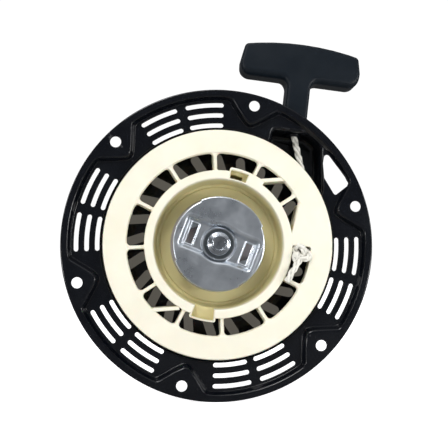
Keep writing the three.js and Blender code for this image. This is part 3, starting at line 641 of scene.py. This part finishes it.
def shell_points(steps):
    """The whole stamped shell as one closed grid: a row per angle, a column per profile point."""
    inner_corner = FACE_CORNER - SHEET
    inner_face = FACE_DEPTH - SHEET
    face_radii = [0, 20, 45, 62]
    inside = [(radius, inner_face) for radius in face_radii]
    inside += [(a, b) for a, b in arc(inner_corner, 90, 0, 6, (DRUM_RADIUS - inner_corner,
                                                               inner_face - inner_corner))]
    inside += [(DRUM_RADIUS, 24), (DRUM_RADIUS, 12)]
    lip = arc(DRUM_LIP, 180, 270, 6, (DRUM_RADIUS + DRUM_LIP, RECESS_DEPTH + DRUM_LIP))
    front_radii = np.arange(DRUM_RADIUS + DRUM_LIP + 0.4, RIM_FLAT_FROM, 0.3)
    edge = arc(SHEET / 2, -90, 90, 7, (RIM_RADIUS - SHEET / 2, SHEET / 2))
    back_lip = DRUM_RADIUS + SHEET + 1.5
    back_radii = np.arange(RIM_FLAT_FROM - 0.3, back_lip + 0.2, -0.8)
    back_corner = arc(1.5, 270, 180, 5, (back_lip, RECESS_DEPTH + SHEET + 1.5))
    outer = DRUM_RADIUS + SHEET
    outside = [(outer, 15), (outer, 26)]
    outside += arc(FACE_CORNER, 0, 90, 8, (outer - FACE_CORNER, FACE_DEPTH - FACE_CORNER))
    outside += [(radius, FACE_DEPTH) for radius in reversed(face_radii)]

    angles = np.arange(steps) * 2 * math.pi / steps
    columns = []

    def add(radius, y):
        columns.append(np.stack([radius * np.cos(angles), np.broadcast_to(y, steps),
                                 radius * np.sin(angles)], axis=1))

    for radius, y in inside + lip:
        add(radius, y)
    for radius in front_radii:
        add(radius, recess(recess_distance(radius, angles)))
    for radius, y in edge:
        add(radius, y)
    for radius in back_radii:
        add(radius, SHEET + recess(recess_distance(radius, angles) + 1))
    for radius, y in back_corner + outside:
        add(radius, y)
    return np.stack(columns, axis=1)


def exit_wall(x, offset=0):
    """Height of the flat exit wall, square to the pull, above a given x."""
    return EXIT[2] - (x - EXIT[0]) * math.tan(PULL_TILT) + offset / math.cos(PULL_TILT)


def pocket_outline(grow, corner):
    """The pocket that carries the rope from the drum out to the exit wall."""
    radius = POCKET_RADIUS + grow
    side = POCKET_SIDE + grow
    left = POCKET_LEFT - grow
    side_angle = math.degrees(math.acos(side / radius))
    wall_distance = EXIT[0] * math.sin(PULL_TILT) + EXIT[2] * math.cos(PULL_TILT) + grow
    wall_angle = 90 - math.degrees(PULL_TILT + math.acos(wall_distance / radius))
    middle = (side_angle + wall_angle) / 2
    right_foot, right_bend, left_foot = (60 + grow, 22), (side, 34, corner), (left - 5.5, 55)
    return rounded([
        right_foot, right_bend, (*polar(radius, side_angle), corner),
        polar(radius, middle), (*polar(radius, wall_angle), corner),
        (left, exit_wall(left, grow), corner), left_foot,
    ])


def pan_sections(near, far, mouth, foot):
    """Sections of a pocket: a flared mouth at near and a rounded foot at far."""
    quarter = np.radians([0, 22.5, 45, 67.5, 90])
    flare = [(mouth * (1 - math.sin(a)), near + mouth * (1 - math.cos(a))) for a in quarter]
    base = [(-foot * (1 - math.cos(a)), far - foot * (1 - math.sin(a))) for a in quarter]
    return flare + base


def build_housing():
    steps = 720
    points = shell_points(steps)
    shell = make_mesh("housing_shell", points, grid_faces(steps, points.shape[1], wrap_rows=True))
    pocket_shell = stack("pocket_shell", pocket_outline(SHEET, 4.5),
                         [(0, RECESS_DEPTH + 0.8)] + pan_sections(8, POCKET_DEPTH + SHEET, 0, 3))
    middle_of_wall = DRUM_RADIUS + SHEET / 2
    carve(pocket_shell, revolve("drum_room", [(0, -5), (middle_of_wall, -5), (middle_of_wall, 60),
                                              (0, 60)]))
    fuse(shell, pocket_shell)
    carve(shell, stack("pocket_room", pocket_outline(0, 3),
                       pan_sections(RECESS_DEPTH - 0.1, POCKET_DEPTH, POCKET_MOUTH, POCKET_FOOT)))
    for angle in BOLT_ANGLES:
        hole = np.array(arc(BOLT_HOLE, 0, 345, 24, polar(BOLT_CIRCLE, angle)))
        carve(shell, stack("bolt_hole", hole, [(0.5, -1), (0.5, 0), (0, 0.5), (0, 9)]))
    for sector in SLOTTED_SECTORS:
        for offset in (-SLOT_OFFSET, SLOT_OFFSET):
            for radius in SLOT_ROWS:
                outline = curved_slot(radius, SLOT_HALF_WIDTH, SLOT_HALF_ANGLE, sector + offset)
                carve(shell, stack("slot", outline, [
                    (0.45, RECESS_DEPTH - 2), (0.45, RECESS_DEPTH - 0.02), (0, RECESS_DEPTH + 0.4),
                    (0, RECESS_DEPTH + SHEET + 1)]))
    for i in range(VENT_COUNT):
        angle = VENT_FIRST + i * 360 / VENT_COUNT
        outline = straight_slot(VENT_HALF_LENGTH, VENT_HALF_WIDTH, angle + VENT_SLANT,
                                polar(VENT_RADIUS, angle))
        carve(shell, stack("vent", outline, [
            (0, FACE_DEPTH - SHEET - 1), (0, FACE_DEPTH - 0.6), (0.5, FACE_DEPTH + 0.02),
            (0.5, FACE_DEPTH + 1)]))
    opening = rounded([
        (69.8, 61.2, 2.2), (68.5, 52), (69.1, 42.4, 1.5), (75.9, 30.9, 1.5), (85.3, 38.2, 2.0),
        (82.9, 43.2), (79.6, 47.9), (75.3, 53.6),
    ])
    carve(shell, prism("opening", opening, RECESS_DEPTH - 2, RECESS_DEPTH + SHEET + 2))
    carve(shell, revolve("eyelet_hole", [(0, -4), (4.1, -4), (4.1, 4), (0, 4)], 32, on_eyelet_line))
    flatten_normals(shell)
    settle(shell, "housing", "black_paint", "starter_housing")


# ---- Reel ----


def reel_profile():
    return rounded([
        (HUB_BORE, 3.2), (HUB_RADIUS, 3.2, 0.5), (HUB_RADIUS, 9, 1), (PLATFORM_RADIUS, 9, 0.8),
        (PLATFORM_RADIUS, 11.7, 0.6), (36.9, 11.7, 0.3),
        (37.3, 12.5, 0.3), (39.2, 12.5, 1.8), (CUP_RADIUS, REEL_FRONT, 1.1),
        (RING_RADIUS, REEL_FRONT, 0.8), (RING_RADIUS + 0.1, SPOKE_FRONT),
        (WINDOW_OUTER - 0.7, SPOKE_FRONT), (WINDOW_OUTER + 0.5, REEL_FRONT, 1.0),
        (REEL_RADIUS, REEL_FRONT, 1.0), (REEL_RADIUS, PLATE_BACK, 0.6),
        (DRUM_OUTER, 4, 1), (DRUM_OUTER, 17.5, 1), (71.6, 18.5, 0.4), (71.6, 20, 0.6),
        (DRUM_INNER, 20, 0.4), (DRUM_INNER, WEB_BACK), (RING_RADIUS, WEB_BACK), (RING_RADIUS, REEL_BACK),
        (CHAMBER_RADIUS, REEL_BACK), (CHAMBER_RADIUS, WEB_BACK), (HUB_RADIUS, WEB_BACK),
        (HUB_RADIUS, 18), (HUB_BORE, 18),
    ], 4)


def window_outline(first, last, outer=WINDOW_OUTER):
    """A window between two spokes whose middles are at first and last degrees."""
    inner = RING_RADIUS + 0.05
    inner_gap = math.degrees(SPOKE_HALF / inner)
    outer_gap = math.degrees(SPOKE_HALF / outer)
    return rounded([
        (*polar(outer, first + outer_gap), 2.6), *arc(outer, first + 6, last - 6, 5),
        (*polar(outer, last - outer_gap), 2.6), (*polar(inner, last - inner_gap), 1),
        *arc(inner, last - 5, first + 5, 6), (*polar(inner, first + inner_gap), 1),
    ])


def slanted_window(outer=WINDOW_OUTER):
    """What the slanted web leaves of the window after the first spoke."""
    inner = RING_RADIUS + 0.05
    return rounded([
        (*polar(inner, 6.2), 0.3), (*polar(outer, 27.6), 1.2), (*polar(outer, 30.9), 0.7),
        (*polar(inner, 30.6), 0.6), *arc(inner, 27, 10, 6),
    ])


def rope_window(outer=WINDOW_OUTER + 0.8):
    """The window the rope's knot sits in, ahead of the web."""
    inner = RING_RADIUS + 0.05
    return rounded([
        (*polar(outer, -26.8), 2.6), *arc(outer, -22, -7, 5), (*polar(outer, -2.4), 1.2),
        (*polar(inner, -1.5), 0.6), *arc(inner, -6, -22, 6), (*polar(inner, -26.6), 1),
    ])


def rib(turn):
    x1, z1 = polar(RING_RADIUS + 0.2, 58 + turn)
    x2, z2 = polar(DRUM_INNER + 0.4, 42.4 + turn)
    along = np.array([x2 - x1, z2 - z1]) / math.hypot(x2 - x1, z2 - z1)
    side = np.array([-along[1], along[0]]) * SPOKE_HALF
    a, b = np.array([x1, z1]), np.array([x2, z2])
    return boss("rib", np.array([a - side, b - side, b + side, a + side]), SPOKE_FRONT - 0.2,
                WEB_BACK - 0.3, 0.4)


def build_reel():
    reel = revolve("reel_moulding", reel_profile(), 360)
    for i in range(1, 11):
        first = SPOKE_FIRST + 30 * i
        carve(reel, stack("window", window_outline(first, first + 30), [
            (0.5, -4), (0.5, SPOKE_FRONT), (0.15, SPOKE_FRONT + 0.35), (0, SPOKE_FRONT + 1),
            (0, 22)]))
        carve(reel, prism("room", window_outline(first, first + 30, DRUM_INNER), PLATE_BACK, 22))
    for shape in (slanted_window, rope_window):
        carve(reel, prism("window", shape(), -4, 22), prism("room", shape(DRUM_INNER), PLATE_BACK, 22))
    web = rounded([
        polar(46, -1.6), (*polar(58.8, -2.2), 1), *arc(59.0, 3, 22, 5), (*polar(58.8, 27.6), 1),
        polar(46.3, 6.0),
    ])
    fuse(reel, boss("web", web, REEL_FRONT + 0.05, WEB_BACK - 0.4, 0.5))
    fuse(reel, rib(0), rib(180))
    for start, end in BULGES:
        sector = ring_sector(RING_RADIUS - 1.6, RING_RADIUS + 2.4, start, end, 1.2)
        fuse(reel, boss("bulge", sector, REEL_FRONT - 0.03, 8, 0.7))
    for angle in PAWL_ANGLES:
        post = np.array(arc(3, 0, 340, 18, polar(PAWL_PIVOT_RADIUS, angle)))
        fuse(reel, prism("pawl_post", post, 2.5, 10))
    recess_shape = ring_sector(CUP_RADIUS + 0.9, RING_RADIUS + 0.7, 66, 80, 0.5)
    carve(reel, stack("recess", recess_shape, [(0.5, -4), (0.5, REEL_FRONT), (0, -0.9), (0, 3.2)]))
    carve(reel, prism("recess_hole", ring_sector(CUP_RADIUS + 1.2, CUP_RADIUS + 4.0, 69.5, 79.5, 0.4),
                      1, 14))
    notch = ring_sector(37.6, RING_RADIUS + 1.2, 248.5, 265.5, 0.6)
    carve(reel, stack("notch", notch, [(0.6, -4), (0.6, REEL_FRONT), (0, -0.7), (0, 4)]))
    flatten_normals(reel)
    settle(reel, "reel", "cream_nylon", "rope_reel")


# ---- Rope ----


def smooth_path(points, spacing):
    """Points about spacing apart on a Catmull-Rom curve through the given ones."""
    points = np.asarray(points, float)
    padded = np.vstack([2 * points[0] - points[1], points, 2 * points[-1] - points[-2]])
    path = []
    for i in range(len(points) - 1):
        p0, p1, p2, p3 = padded[i:i + 4]
        count = max(2, int(np.linalg.norm(p2 - p1) / spacing))
        for t in np.arange(count) / count:
            path.append(0.5 * (2 * p1 + (p2 - p0) * t + (2 * p0 - 5 * p1 + 4 * p2 - p3) * t ** 2
                               + (3 * p1 - p0 - 3 * p2 + p3) * t ** 3))
    path.append(points[-1])
    return np.array(path)


def braided_rope(name, path, radius, sides=28, closed=False, relief=0.22, place=None):
    """A rope of crossing strands along a path."""
    path = np.asarray(path, float)
    if closed:
        along = np.roll(path, -1, axis=0) - np.roll(path, 1, axis=0)
    else:
        along = np.gradient(path, axis=0)
    along /= np.linalg.norm(along, axis=1)[:, None]
    helper = np.array([0.0, 1.0, 0.0]) if abs(along[0][1]) < 0.8 else np.array([1.0, 0.0, 0.0])
    side = helper - (helper @ along[0]) * along[0]
    frames = []
    for direction in along:
        side = side - (side @ direction) * direction
        side /= np.linalg.norm(side)
        frames.append((side, np.cross(direction, side)))
    run = np.concatenate([[0], np.cumsum(np.linalg.norm(np.diff(path, axis=0), axis=1))])
    pitch = 2.8 * radius
    strands = 3
    angles = np.arange(sides) * 2 * math.pi / sides
    rings = []
    for point, (u, v), distance in zip(path, frames, run):
        phase = 2 * math.pi * distance / pitch
        right = np.cos(strands * angles + phase)
        left = np.cos(strands * angles - phase)
        weave = 0.8 * abs(right) ** 0.6 * np.sign(right) + 0.2 * left
        size = radius * (1 - relief + relief * weave)
        end = 1.0
        if not closed:
            near_end = min(distance, run[-1] - distance)
            end = math.sqrt(max(0.02, 1 - max(0, 1 - near_end / (0.5 * radius)) ** 2))
        ring = point + end * size[:, None] * (np.cos(angles)[:, None] * u + np.sin(angles)[:, None] * v)
        rings.append(ring)
    faces = grid_faces(len(rings), sides, wrap_rows=closed)
    if not closed:
        faces.append(list(range(sides)))
        faces.append(list(range((len(rings) - 1) * sides, len(rings) * sides)))
    points = np.concatenate(rings)
    if place:
        points = place(points)
    return make_mesh(name, points, faces, 180)


def knot_path(size, depth, count=90, open_from=0.06, open_to=0.94):
    """An overhand knot in its own (a, b, c) axes, opened where it starts and ends."""
    t = np.linspace(open_from, open_to, count) * 2 * math.pi
    return np.stack([
        size * (np.sin(t) + 2 * np.sin(2 * t)), size * (np.cos(t) - 2 * np.cos(2 * t)),
        -depth * np.sin(3 * t),
    ], axis=1)


def build_rope_lead():
    mouth, inside, end = on_eyelet_line([(0.6, -2.4, 0), (0, 1, 0), (-0.5, 2.9, 0)])
    distance = math.hypot(mouth[0], mouth[2])
    angle = math.degrees(math.atan2(mouth[2], mouth[0]) - math.acos(ROPE_TANGENT / distance))
    x, z = polar(ROPE_TANGENT, angle)
    tangent = np.array([x, ROPE_GROOVE_Y, z])
    along = (mouth - tangent) / math.hypot(mouth[0] - x, mouth[2] - z)
    start = tangent + along * math.sqrt(ROPE_LEAD_START ** 2 - ROPE_TANGENT ** 2)
    path = smooth_path([start, start + 0.45 * (mouth - start), start + 0.88 * (mouth - start), mouth,
                        inside, end], 0.35)
    rope = braided_rope("rope_lead_braid", path, ROPE_RADIUS)
    settle(rope, "housing", "white_rope", "rope_lead")


def build_winding():
    """Three turns laid side by side in the groove."""
    radius = 64.8
    angles = np.radians(np.arange(0, 360, 1.5))
    ropes = []
    for i, y in enumerate((6.9, 10.75, 14.6)):
        path = np.stack([radius * np.cos(angles), np.full(len(angles), y), radius * np.sin(angles)],
                        axis=1)
        ropes.append(braided_rope(f"winding_{i}", path, 2.1, 16, closed=True))
    first, *others = ropes
    first.name = "rope_winding_braid"
    work = bmesh.new()
    for rope in ropes:
        work.from_mesh(rope.data)
    work.to_mesh(first.data)
    work.free()
    for rope in others:
        bpy.data.objects.remove(rope)
    settle(first, "reel", "white_rope", "rope_winding")


def build_reel_knot():
    def at(radius, degrees, y):
        x, z = polar(radius, degrees)
        return [x, y, z]

    centre = np.array(at(52.6, -7.5, -1.2))
    loop = knot_path(1.75, 2.1)
    turn = math.radians(200)
    c, s = math.cos(turn), math.sin(turn)
    x = loop[:, 0] * c - loop[:, 1] * s
    z = loop[:, 0] * s + loop[:, 1] * c
    middle = np.stack([x, loop[:, 2], z], axis=1) + centre
    stub = [at(62.2, -9, 9), at(57.5, -9, 8)]
    tail = [at(50.2, -17.5, -3.8), at(49.2, -23, -4.0), at(48.9, -30, -4.0)]
    path = smooth_path(np.vstack([stub, middle[::4], tail]), 0.35)
    knot = braided_rope("reel_knot_braid", path, 2.2, 24)
    settle(knot, "reel", "white_rope", "reel_knot")


def build_grip_rope():
    """The pulled end: a smooth tube without a braid, so that it can stretch."""
    rows, sides = 220, 24
    heights = np.linspace(ROPE_PULL_START, KNOT_HEIGHT - 4, rows)
    angles = np.arange(sides) * 2 * math.pi / sides
    points = np.empty((rows, sides, 3))
    points[:, :, 0] = ROPE_RADIUS * np.cos(angles)
    points[:, :, 1] = heights[:, None]
    points[:, :, 2] = ROPE_RADIUS * np.sin(angles)
    faces = grid_faces(rows, sides)
    rope = make_mesh("rope_pull_cord", on_pull_line(points), faces, 180)
    settle(rope, None, "white_rope", "rope_pull_end")
    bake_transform(rope)

    loop = knot_path(1.35, 1.7)
    path = np.stack([loop[:, 0], loop[:, 1] + KNOT_HEIGHT, loop[:, 2]], axis=1)
    knot = braided_rope("grip_knot_braid", path, 1.9, 20, place=on_pull_line)
    settle(knot, "grip", "white_rope", "grip_knot")


# ---- Guide plate and screw ----


def box_distance(a, b, half_a, half_b, corner=0.0):
    """Signed distance to a rounded rectangle, negative inside."""
    x = abs(a) - (half_a - corner)
    y = abs(b) - (half_b - corner)
    outside = np.hypot(np.maximum(x, 0), np.maximum(y, 0))
    return outside + np.minimum(np.maximum(x, y), 0) - corner


def pressed_wall(inside):
    """Depth of the stamped wall by the distance inside its outline: fillet, slope, small fillet."""
    slope = math.radians(50)
    fillet_end = WALL_FILLET * math.sin(slope)
    along = np.clip(inside, 0, fillet_end)
    depth = WALL_FILLET - np.sqrt(WALL_FILLET ** 2 - along ** 2)
    depth = depth + np.clip(inside - fillet_end, 0, None) * math.tan(slope)
    soft = 0.25
    full = (RELIEF_DEPTH - depth) / soft
    return RELIEF_DEPTH - soft * np.log1p(np.exp(np.clip(full, -30, 30)))


def guide_relief(radius, angle):
    """Depth of the stamped bow-tie below the plate's face."""
    a = radius * np.cos(angle - GUIDE_AXIS)
    b = radius * np.sin(angle - GUIDE_AXIS)
    wings = box_distance(a, b, BOW_HALF_LENGTH, BOW_HALF_WIDTH, 3.5)
    bulge = radius - BULGE_RADIUS
    blend = 1.2
    bow_tie = -blend * np.log(np.exp(-wings / blend) + np.exp(-bulge / blend))
    depth = pressed_wall(-bow_tie)
    depth = depth + 0.9 * smoothstep((WELL_RADIUS - radius) / 1.2)
    for side in (-1, 1):
        slot = box_distance(a - side * SLOT_MIDDLE, b, 2.15, 6.6, 0.3)
        depth = depth - 0.45 * np.exp(-((slot - 0.5) / 0.45) ** 2)
    raised = np.exp(-((bow_tie - 0.6) / 0.6) ** 2)
    return depth - 0.12 * raised


def skirt_share(degrees):
    """1 where the plate's edge is turned down into a skirt, else 0."""
    share = np.zeros_like(degrees)
    for start, end in SKIRT_ARCS:
        share = np.maximum(share, smoothstep((degrees - start) / 1.5) * smoothstep((end - degrees) / 1.5))
    return share


def build_guide():
    steps = 720
    angles = np.arange(steps) * 2 * math.pi / steps
    share = skirt_share(np.degrees(angles))
    edge = GUIDE_RADIUS - 0.4 + share * (SKIRT_RADIUS - GUIDE_RADIUS + 0.4)
    foot = GUIDE_FRONT + 1.05 + share * 4.5
    columns = []

    def add(radius, y):
        columns.append(np.stack([radius * np.cos(angles), y, radius * np.sin(angles)], axis=1))

    for t in np.linspace(0, 1, 110):
        radius = GUIDE_BORE + (edge - 1 - GUIDE_BORE) * t
        add(radius, GUIDE_FRONT + guide_relief(radius, angles))
    for a in np.radians([22.5, 45, 67.5, 90]):
        add(edge - 1 + math.sin(a), GUIDE_FRONT + 1 - math.cos(a) * np.ones(steps))
    add(edge, foot)
    add(edge - 0.95, foot)
    add(edge - 0.95, GUIDE_FRONT + 1.02 * np.ones(steps))
    for t in np.linspace(1, 0, 42):
        radius = GUIDE_BORE + (edge - 1.4 - GUIDE_BORE) * t
        add(radius, GUIDE_FRONT + 1.05 + guide_relief(radius, angles))
    points = np.stack(columns, axis=1)
    guide = make_mesh("guide_plate", points, grid_faces(steps, points.shape[1], wrap_rows=True), 50)
    c, s = math.cos(GUIDE_AXIS), math.sin(GUIDE_AXIS)
    half_a, half_b = SLOT_HALF
    for side in (-1, 1):
        left, right = side * SLOT_MIDDLE - half_a, side * SLOT_MIDDLE + half_a
        corners = [(left, -half_b), (right, -half_b), (right, half_b), (left, half_b)]
        outline = rounded([(a * c - b * s, a * s + b * c, 0.5) for a, b in corners], 3)
        carve(guide, prism("guide_slot", outline, -6, 2))
    shade(guide, 50)
    settle(guide, "guide", "zinc_steel", "ratchet_guide")


def build_screw():
    head = revolve("centre_bolt", rounded([
        (0, -5.9), (3.7, -5.9, 0.2), (4.1, -6.6, 0.25), (4.8, -6.6, 0.3), (5.0, -6.0, 0.2), (6.2, -5.4),
        (6.2, -3.0), (0, -3.0),
    ]), 96)
    hexagon = np.array([polar(5.77, 12 + 60 * i) for i in range(6)])
    combine(head, prism("hexagon", hexagon, -8, -2.9), "INTERSECT")
    flange = revolve("bolt_flange", rounded([
        (0, -3.7), (5.4, -3.7, 0.5), (7.1, -3.1, 0.4), (7.4, -2.7, 0.3), (7.4, -1.9, 0.3), (5, -1.9),
        (5, 1.7), (2.9, 1.7), (2.9, 16), (0, 16),
    ]), 96)
    fuse(head, flange)
    shade(head, 32)
    settle(head, "housing", "bright_zinc", "centre_screw")


def build_eyelet():
    """A flanged ring through the exit wall, with a rolled mouth that leans towards the reel."""
    eyelet = revolve("eyelet_ring", rounded([
        (3.0, -1.1, 0.6), (3.0, -1.7, 0.3), (4.2, -1.7, 0.5), (4.8, -0.3, 0.3), (3.8, -0.3), (3.8, 1.8),
        (4.8, 1.8, 0.3), (4.4, 3.1, 0.5), (3.5, 3.1, 0.4), (3.0, 2.2, 0.4),
    ]), 64, on_eyelet_line)
    lip = arc(0.5, 0, 330, 12, (3.15, 0))
    c, s = math.cos(math.radians(44)), math.sin(math.radians(44))
    centre = [0.8, -2.5, 0.7]

    def place_lip(points):
        x, y, z = points.T
        return on_eyelet_line(np.stack([x, y * c - z * s, y * s + z * c], axis=1) + centre)

    fuse(eyelet, revolve("eyelet_lip", lip, 64, place_lip))
    shade(eyelet)
    settle(eyelet, "housing", "black_paint", "rope_eyelet")


# ---- Grip ----


def grip_outline():
    """The grip's outline on the pull line: x along the bar, y along the pull."""
    top = [(x, BAR_FOOT + BAR_HEIGHT - 4.0 * (x / 37.5) ** 2) for x in (30, 20, 10, 0, -10, -20, -30)]
    return rounded([
        (-STEM_HALF, STEM_END, 2.5), (STEM_HALF, STEM_END, 2.5), (STEM_HALF, BAR_FOOT, 5),
        (38.8, BAR_FOOT, 7), (39.5, BAR_FOOT + 9.8), (37.4, BAR_FOOT + 20.2, 3), *top,
        (-38.0, BAR_FOOT + 20.2, 3), (-39.8, BAR_FOOT + 9.8), (-39.2, BAR_FOOT, 7),
        (-STEM_HALF, BAR_FOOT, 5),
    ], 8)


def dense(outline, spacing):
    """The same outline with points added on its long straight stretches."""
    points = []
    for a, b in zip(outline, np.roll(outline, -1, axis=0)):
        count = max(1, int(np.linalg.norm(b - a) / spacing))
        points += [a + (b - a) * i / count for i in range(count)]
    return np.array(points)


def build_grip():
    outline = dense(grip_outline(), 1.5)
    normals = outward_normals(outline)
    down = np.clip(-normals[:, 1], 0, 1)
    up = np.clip(normals[:, 1], 0, 1)
    on_stem = outline[:, 1] < BAR_FOOT - 2
    soft = 2.2 + 2.3 * np.where(on_stem, 0, down) - 0.7 * up
    kernel = np.hanning(9) / np.hanning(9).sum()
    soft = np.convolve(np.concatenate([soft[-4:], soft, soft[:4]]), kernel, "valid")
    quarter = np.radians(np.linspace(0, 90, 7))
    front = [(-soft * (1 - math.sin(a)), -GRIP_HALF_THICKNESS + soft * (1 - math.cos(a)))
             for a in quarter]
    back = [(-soft * (1 - math.cos(a)), GRIP_HALF_THICKNESS - soft * (1 - math.sin(a)))
            for a in quarter]

    def place(points):
        flipped = np.stack([points[:, 0], points[:, 2], -points[:, 1]], axis=1)
        return on_pull_line(flipped)

    grip = stack("pull_handle", outline, front + back, place, 45)
    bore = revolve("bore", [(0, -2), (2.9, -2), (2.9, 44), (0, 44)], 32, on_pull_line)
    low = BAR_FOOT + CHAMBER_FLOOR
    high = low + 2 * CHAMBER_HALF
    chamber = rounded([(-CHAMBER_HALF, low, 2), (CHAMBER_HALF, low, 2), (CHAMBER_HALF, high, 2),
                       (-CHAMBER_HALF, high, 2)])
    carve(grip, bore, prism("chamber", chamber, -7.2, 20, place))
    flatten_normals(grip, 50)
    settle(grip, "grip", "grip_plastic", "pull_grip")


# ---- CAD nodes that stay ----


def dress_small_parts():
    """The small metal parts keep their CAD shape, with eased edges."""
    looks = {
        "centre_post": "zinc_steel", "thrust_washer": "zinc_steel", "pawl_a": "zinc_steel",
        "pawl_b": "zinc_steel", "knot_washer": "zinc_steel", "main_spring": "spring_steel",
        "pawl_a_return_spring": "spring_steel", "pawl_b_return_spring": "spring_steel",
        "friction_spring": "spring_steel",
    }
    for name, look in looks.items():
        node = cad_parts[name]
        node.data.materials.clear()
        node.data.materials.append(LOOKS[look])
        shade(node, 40)
        if "spring" not in name:
            modifier = node.modifiers.new("eased_edges", "BEVEL")
            modifier.width = 0.25 * MM
            modifier.segments = 2
            modifier.limit_method = "ANGLE"
            modifier.angle_limit = math.radians(40)


# ---- Stage, light and camera ----


def build_floor():
    """A plain white floor, kept light in its shadows as in a studio picture."""
    reach = 6
    corners = [(-reach, -reach, FLOOR_Z), (reach, -reach, FLOOR_Z), (reach, reach, FLOOR_Z),
               (-reach, reach, FLOOR_Z)]
    floor = make_mesh("floor", corners, [(0, 1, 2, 3)], to_frame=False)
    look = Look("floor_paper")
    rays = look.node("ShaderNodeLightPath")
    base = look.mix(look.noise(3), (0.90, 0.90, 0.90), (0.93, 0.93, 0.93))
    in_mirror = look.math("MULTIPLY", rays.outputs["Is Glossy Ray"], 0.75)
    base = look.mix(in_mirror, base, (0.05, 0.05, 0.05))
    look.finish(Base_Color=base, Roughness=0.9, Specular_IOR_Level=0.0,
                Normal=look.bump(look.noise(400), 0.0002, 0.1))
    glow = look.node("ShaderNodeEmission", {
        "Color": (1, 1, 1, 1), "Strength": look.math("MULTIPLY", rays.outputs["Is Camera Ray"], 0.9)})
    total = look.node("ShaderNodeAddShader", {0: look.shader.outputs[0], 1: glow.outputs[0]})
    output = look.tree.nodes["Material Output"]
    look.tree.links.new(total.outputs[0], output.inputs["Surface"])
    floor.data.materials.append(look.material)


def build_vent_card():
    """A glowing card of painted shade inside the sheet of the outer face. It fills the vents, seen from the
    front only.
    """
    outline = np.array(arc(65, 0, 355, 72))
    points = np.stack([outline[:, 0], np.full(72, FACE_DEPTH - 0.5), outline[:, 1]], axis=1)
    card = make_mesh("vent_card", points, [list(range(72))])
    look = Look("shaded_card")
    tone = look.mix(look.noise(30), (0.080, 0.074, 0.062), (0.115, 0.107, 0.090))
    glow = look.node("ShaderNodeEmission", {"Color": tone, "Strength": 1.0})
    clear = look.node("ShaderNodeBsdfTransparent")
    side = look.node("ShaderNodeNewGeometry")
    both = look.node("ShaderNodeMixShader", {0: side.outputs["Backfacing"], 1: glow.outputs[0],
                                             2: clear.outputs[0]})
    output = look.tree.nodes["Material Output"]
    look.tree.links.new(both.outputs[0], output.inputs["Surface"])
    if card.data.polygons[0].normal.y > 0:
        card.data.flip_normals()
    card.data.materials.append(look.material)
    card.visible_shadow = False
    card.visible_diffuse = False
    card.visible_glossy = False


def build_world():
    world = bpy.data.worlds.new("studio")
    bpy.context.scene.world = world
    world.use_nodes = True
    nodes, links = world.node_tree.nodes, world.node_tree.links
    ambient = nodes["Background"]
    ambient.inputs["Color"].default_value = (0.93, 0.96, 1.0, 1)
    ambient.inputs["Strength"].default_value = 0.18
    backdrop = nodes.new("ShaderNodeBackground")
    backdrop.inputs["Color"].default_value = (1, 1, 1, 1)
    backdrop.inputs["Strength"].default_value = 1.05
    rays = nodes.new("ShaderNodeLightPath")
    both = nodes.new("ShaderNodeMixShader")
    links.new(rays.outputs["Is Camera Ray"], both.inputs[0])
    links.new(ambient.outputs[0], both.inputs[1])
    links.new(backdrop.outputs[0], both.inputs[2])
    links.new(both.outputs[0], nodes["World Output"].inputs["Surface"])


def aim(obj, location, target):
    obj.location = location
    obj.rotation_mode = "QUATERNION"
    direction = Vector(target) - Vector(location)
    obj.rotation_quaternion = direction.to_track_quat("-Z", "Y")


# Bright panels for the highlights on the paint and the metal: place, width, height, radiance.
PANELS = {
    "softbox": ((0, -0.405, 0.65), 1.0, 0.8, 0.60),
    "top_strip": ((-0.12, -0.44, 0.60), 0.30, 0.07, 15),
    "right_strip": ((0.62, -0.42, 0.10), 0.07, 0.25, 20),
    "left_strip": ((-0.60, -0.40, 0.25), 0.07, 0.20, 16),
    "low_right_strip": ((0.37, -0.42, -0.05), 0.22, 0.05, 20),
    "low_left_strip": ((-0.42, -0.42, -0.05), 0.22, 0.05, 15),
    "back_strip": ((0.45, 0.75, 0.55), 0.7, 0.2, 4),
}


def build_lights():
    key = bpy.data.lights.new("key", "SUN")
    key.energy = 0.95
    key.angle = math.radians(16)
    sun = bpy.data.objects.new("key", key)
    bpy.context.scene.collection.objects.link(sun)
    aim(sun, (-0.30, -0.80, 0.80), (0, 0, 0))
    for name, (place, width, height, radiance) in PANELS.items():
        panel = bpy.data.lights.new(name, "AREA")
        panel.shape = "RECTANGLE"
        panel.size = width
        panel.size_y = height
        panel.energy = radiance * math.pi * width * height
        obj = bpy.data.objects.new(name, panel)
        bpy.context.scene.collection.objects.link(obj)
        aim(obj, place, (0, -0.03, 0))


def build_camera():
    data = bpy.data.cameras.new("camera")
    data.sensor_width = 36
    data.lens = 57.3
    data.clip_start = 0.01
    data.clip_end = 20
    camera = bpy.data.objects.new("camera", data)
    bpy.context.scene.collection.objects.link(camera)
    camera.rotation_mode = "QUATERNION"
    forward = Vector((0.07435, 0.99536, 0.06064)).normalized()
    right = forward.cross(Vector((0.0029, -0.0598, 0.9982))).normalized()
    up = right.cross(forward)
    turn = Matrix((right, up, -forward)).transposed()
    camera.rotation_quaternion = turn.to_quaternion()
    camera.location = (-0.0301, FLANGE_Y - 0.4489, -0.0148)
    bpy.context.scene.camera = camera


# ---- The scene ----

build_housing()
build_reel()
build_rope_lead()
build_winding()
build_reel_knot()
build_grip_rope()
build_guide()
build_screw()
build_eyelet()
build_grip()
dress_small_parts()
build_floor()
build_vent_card()
build_world()
build_lights()
build_camera()
bpy.context.scene.view_settings.view_transform = "Standard"
bpy.context.scene.view_settings.look = "None"
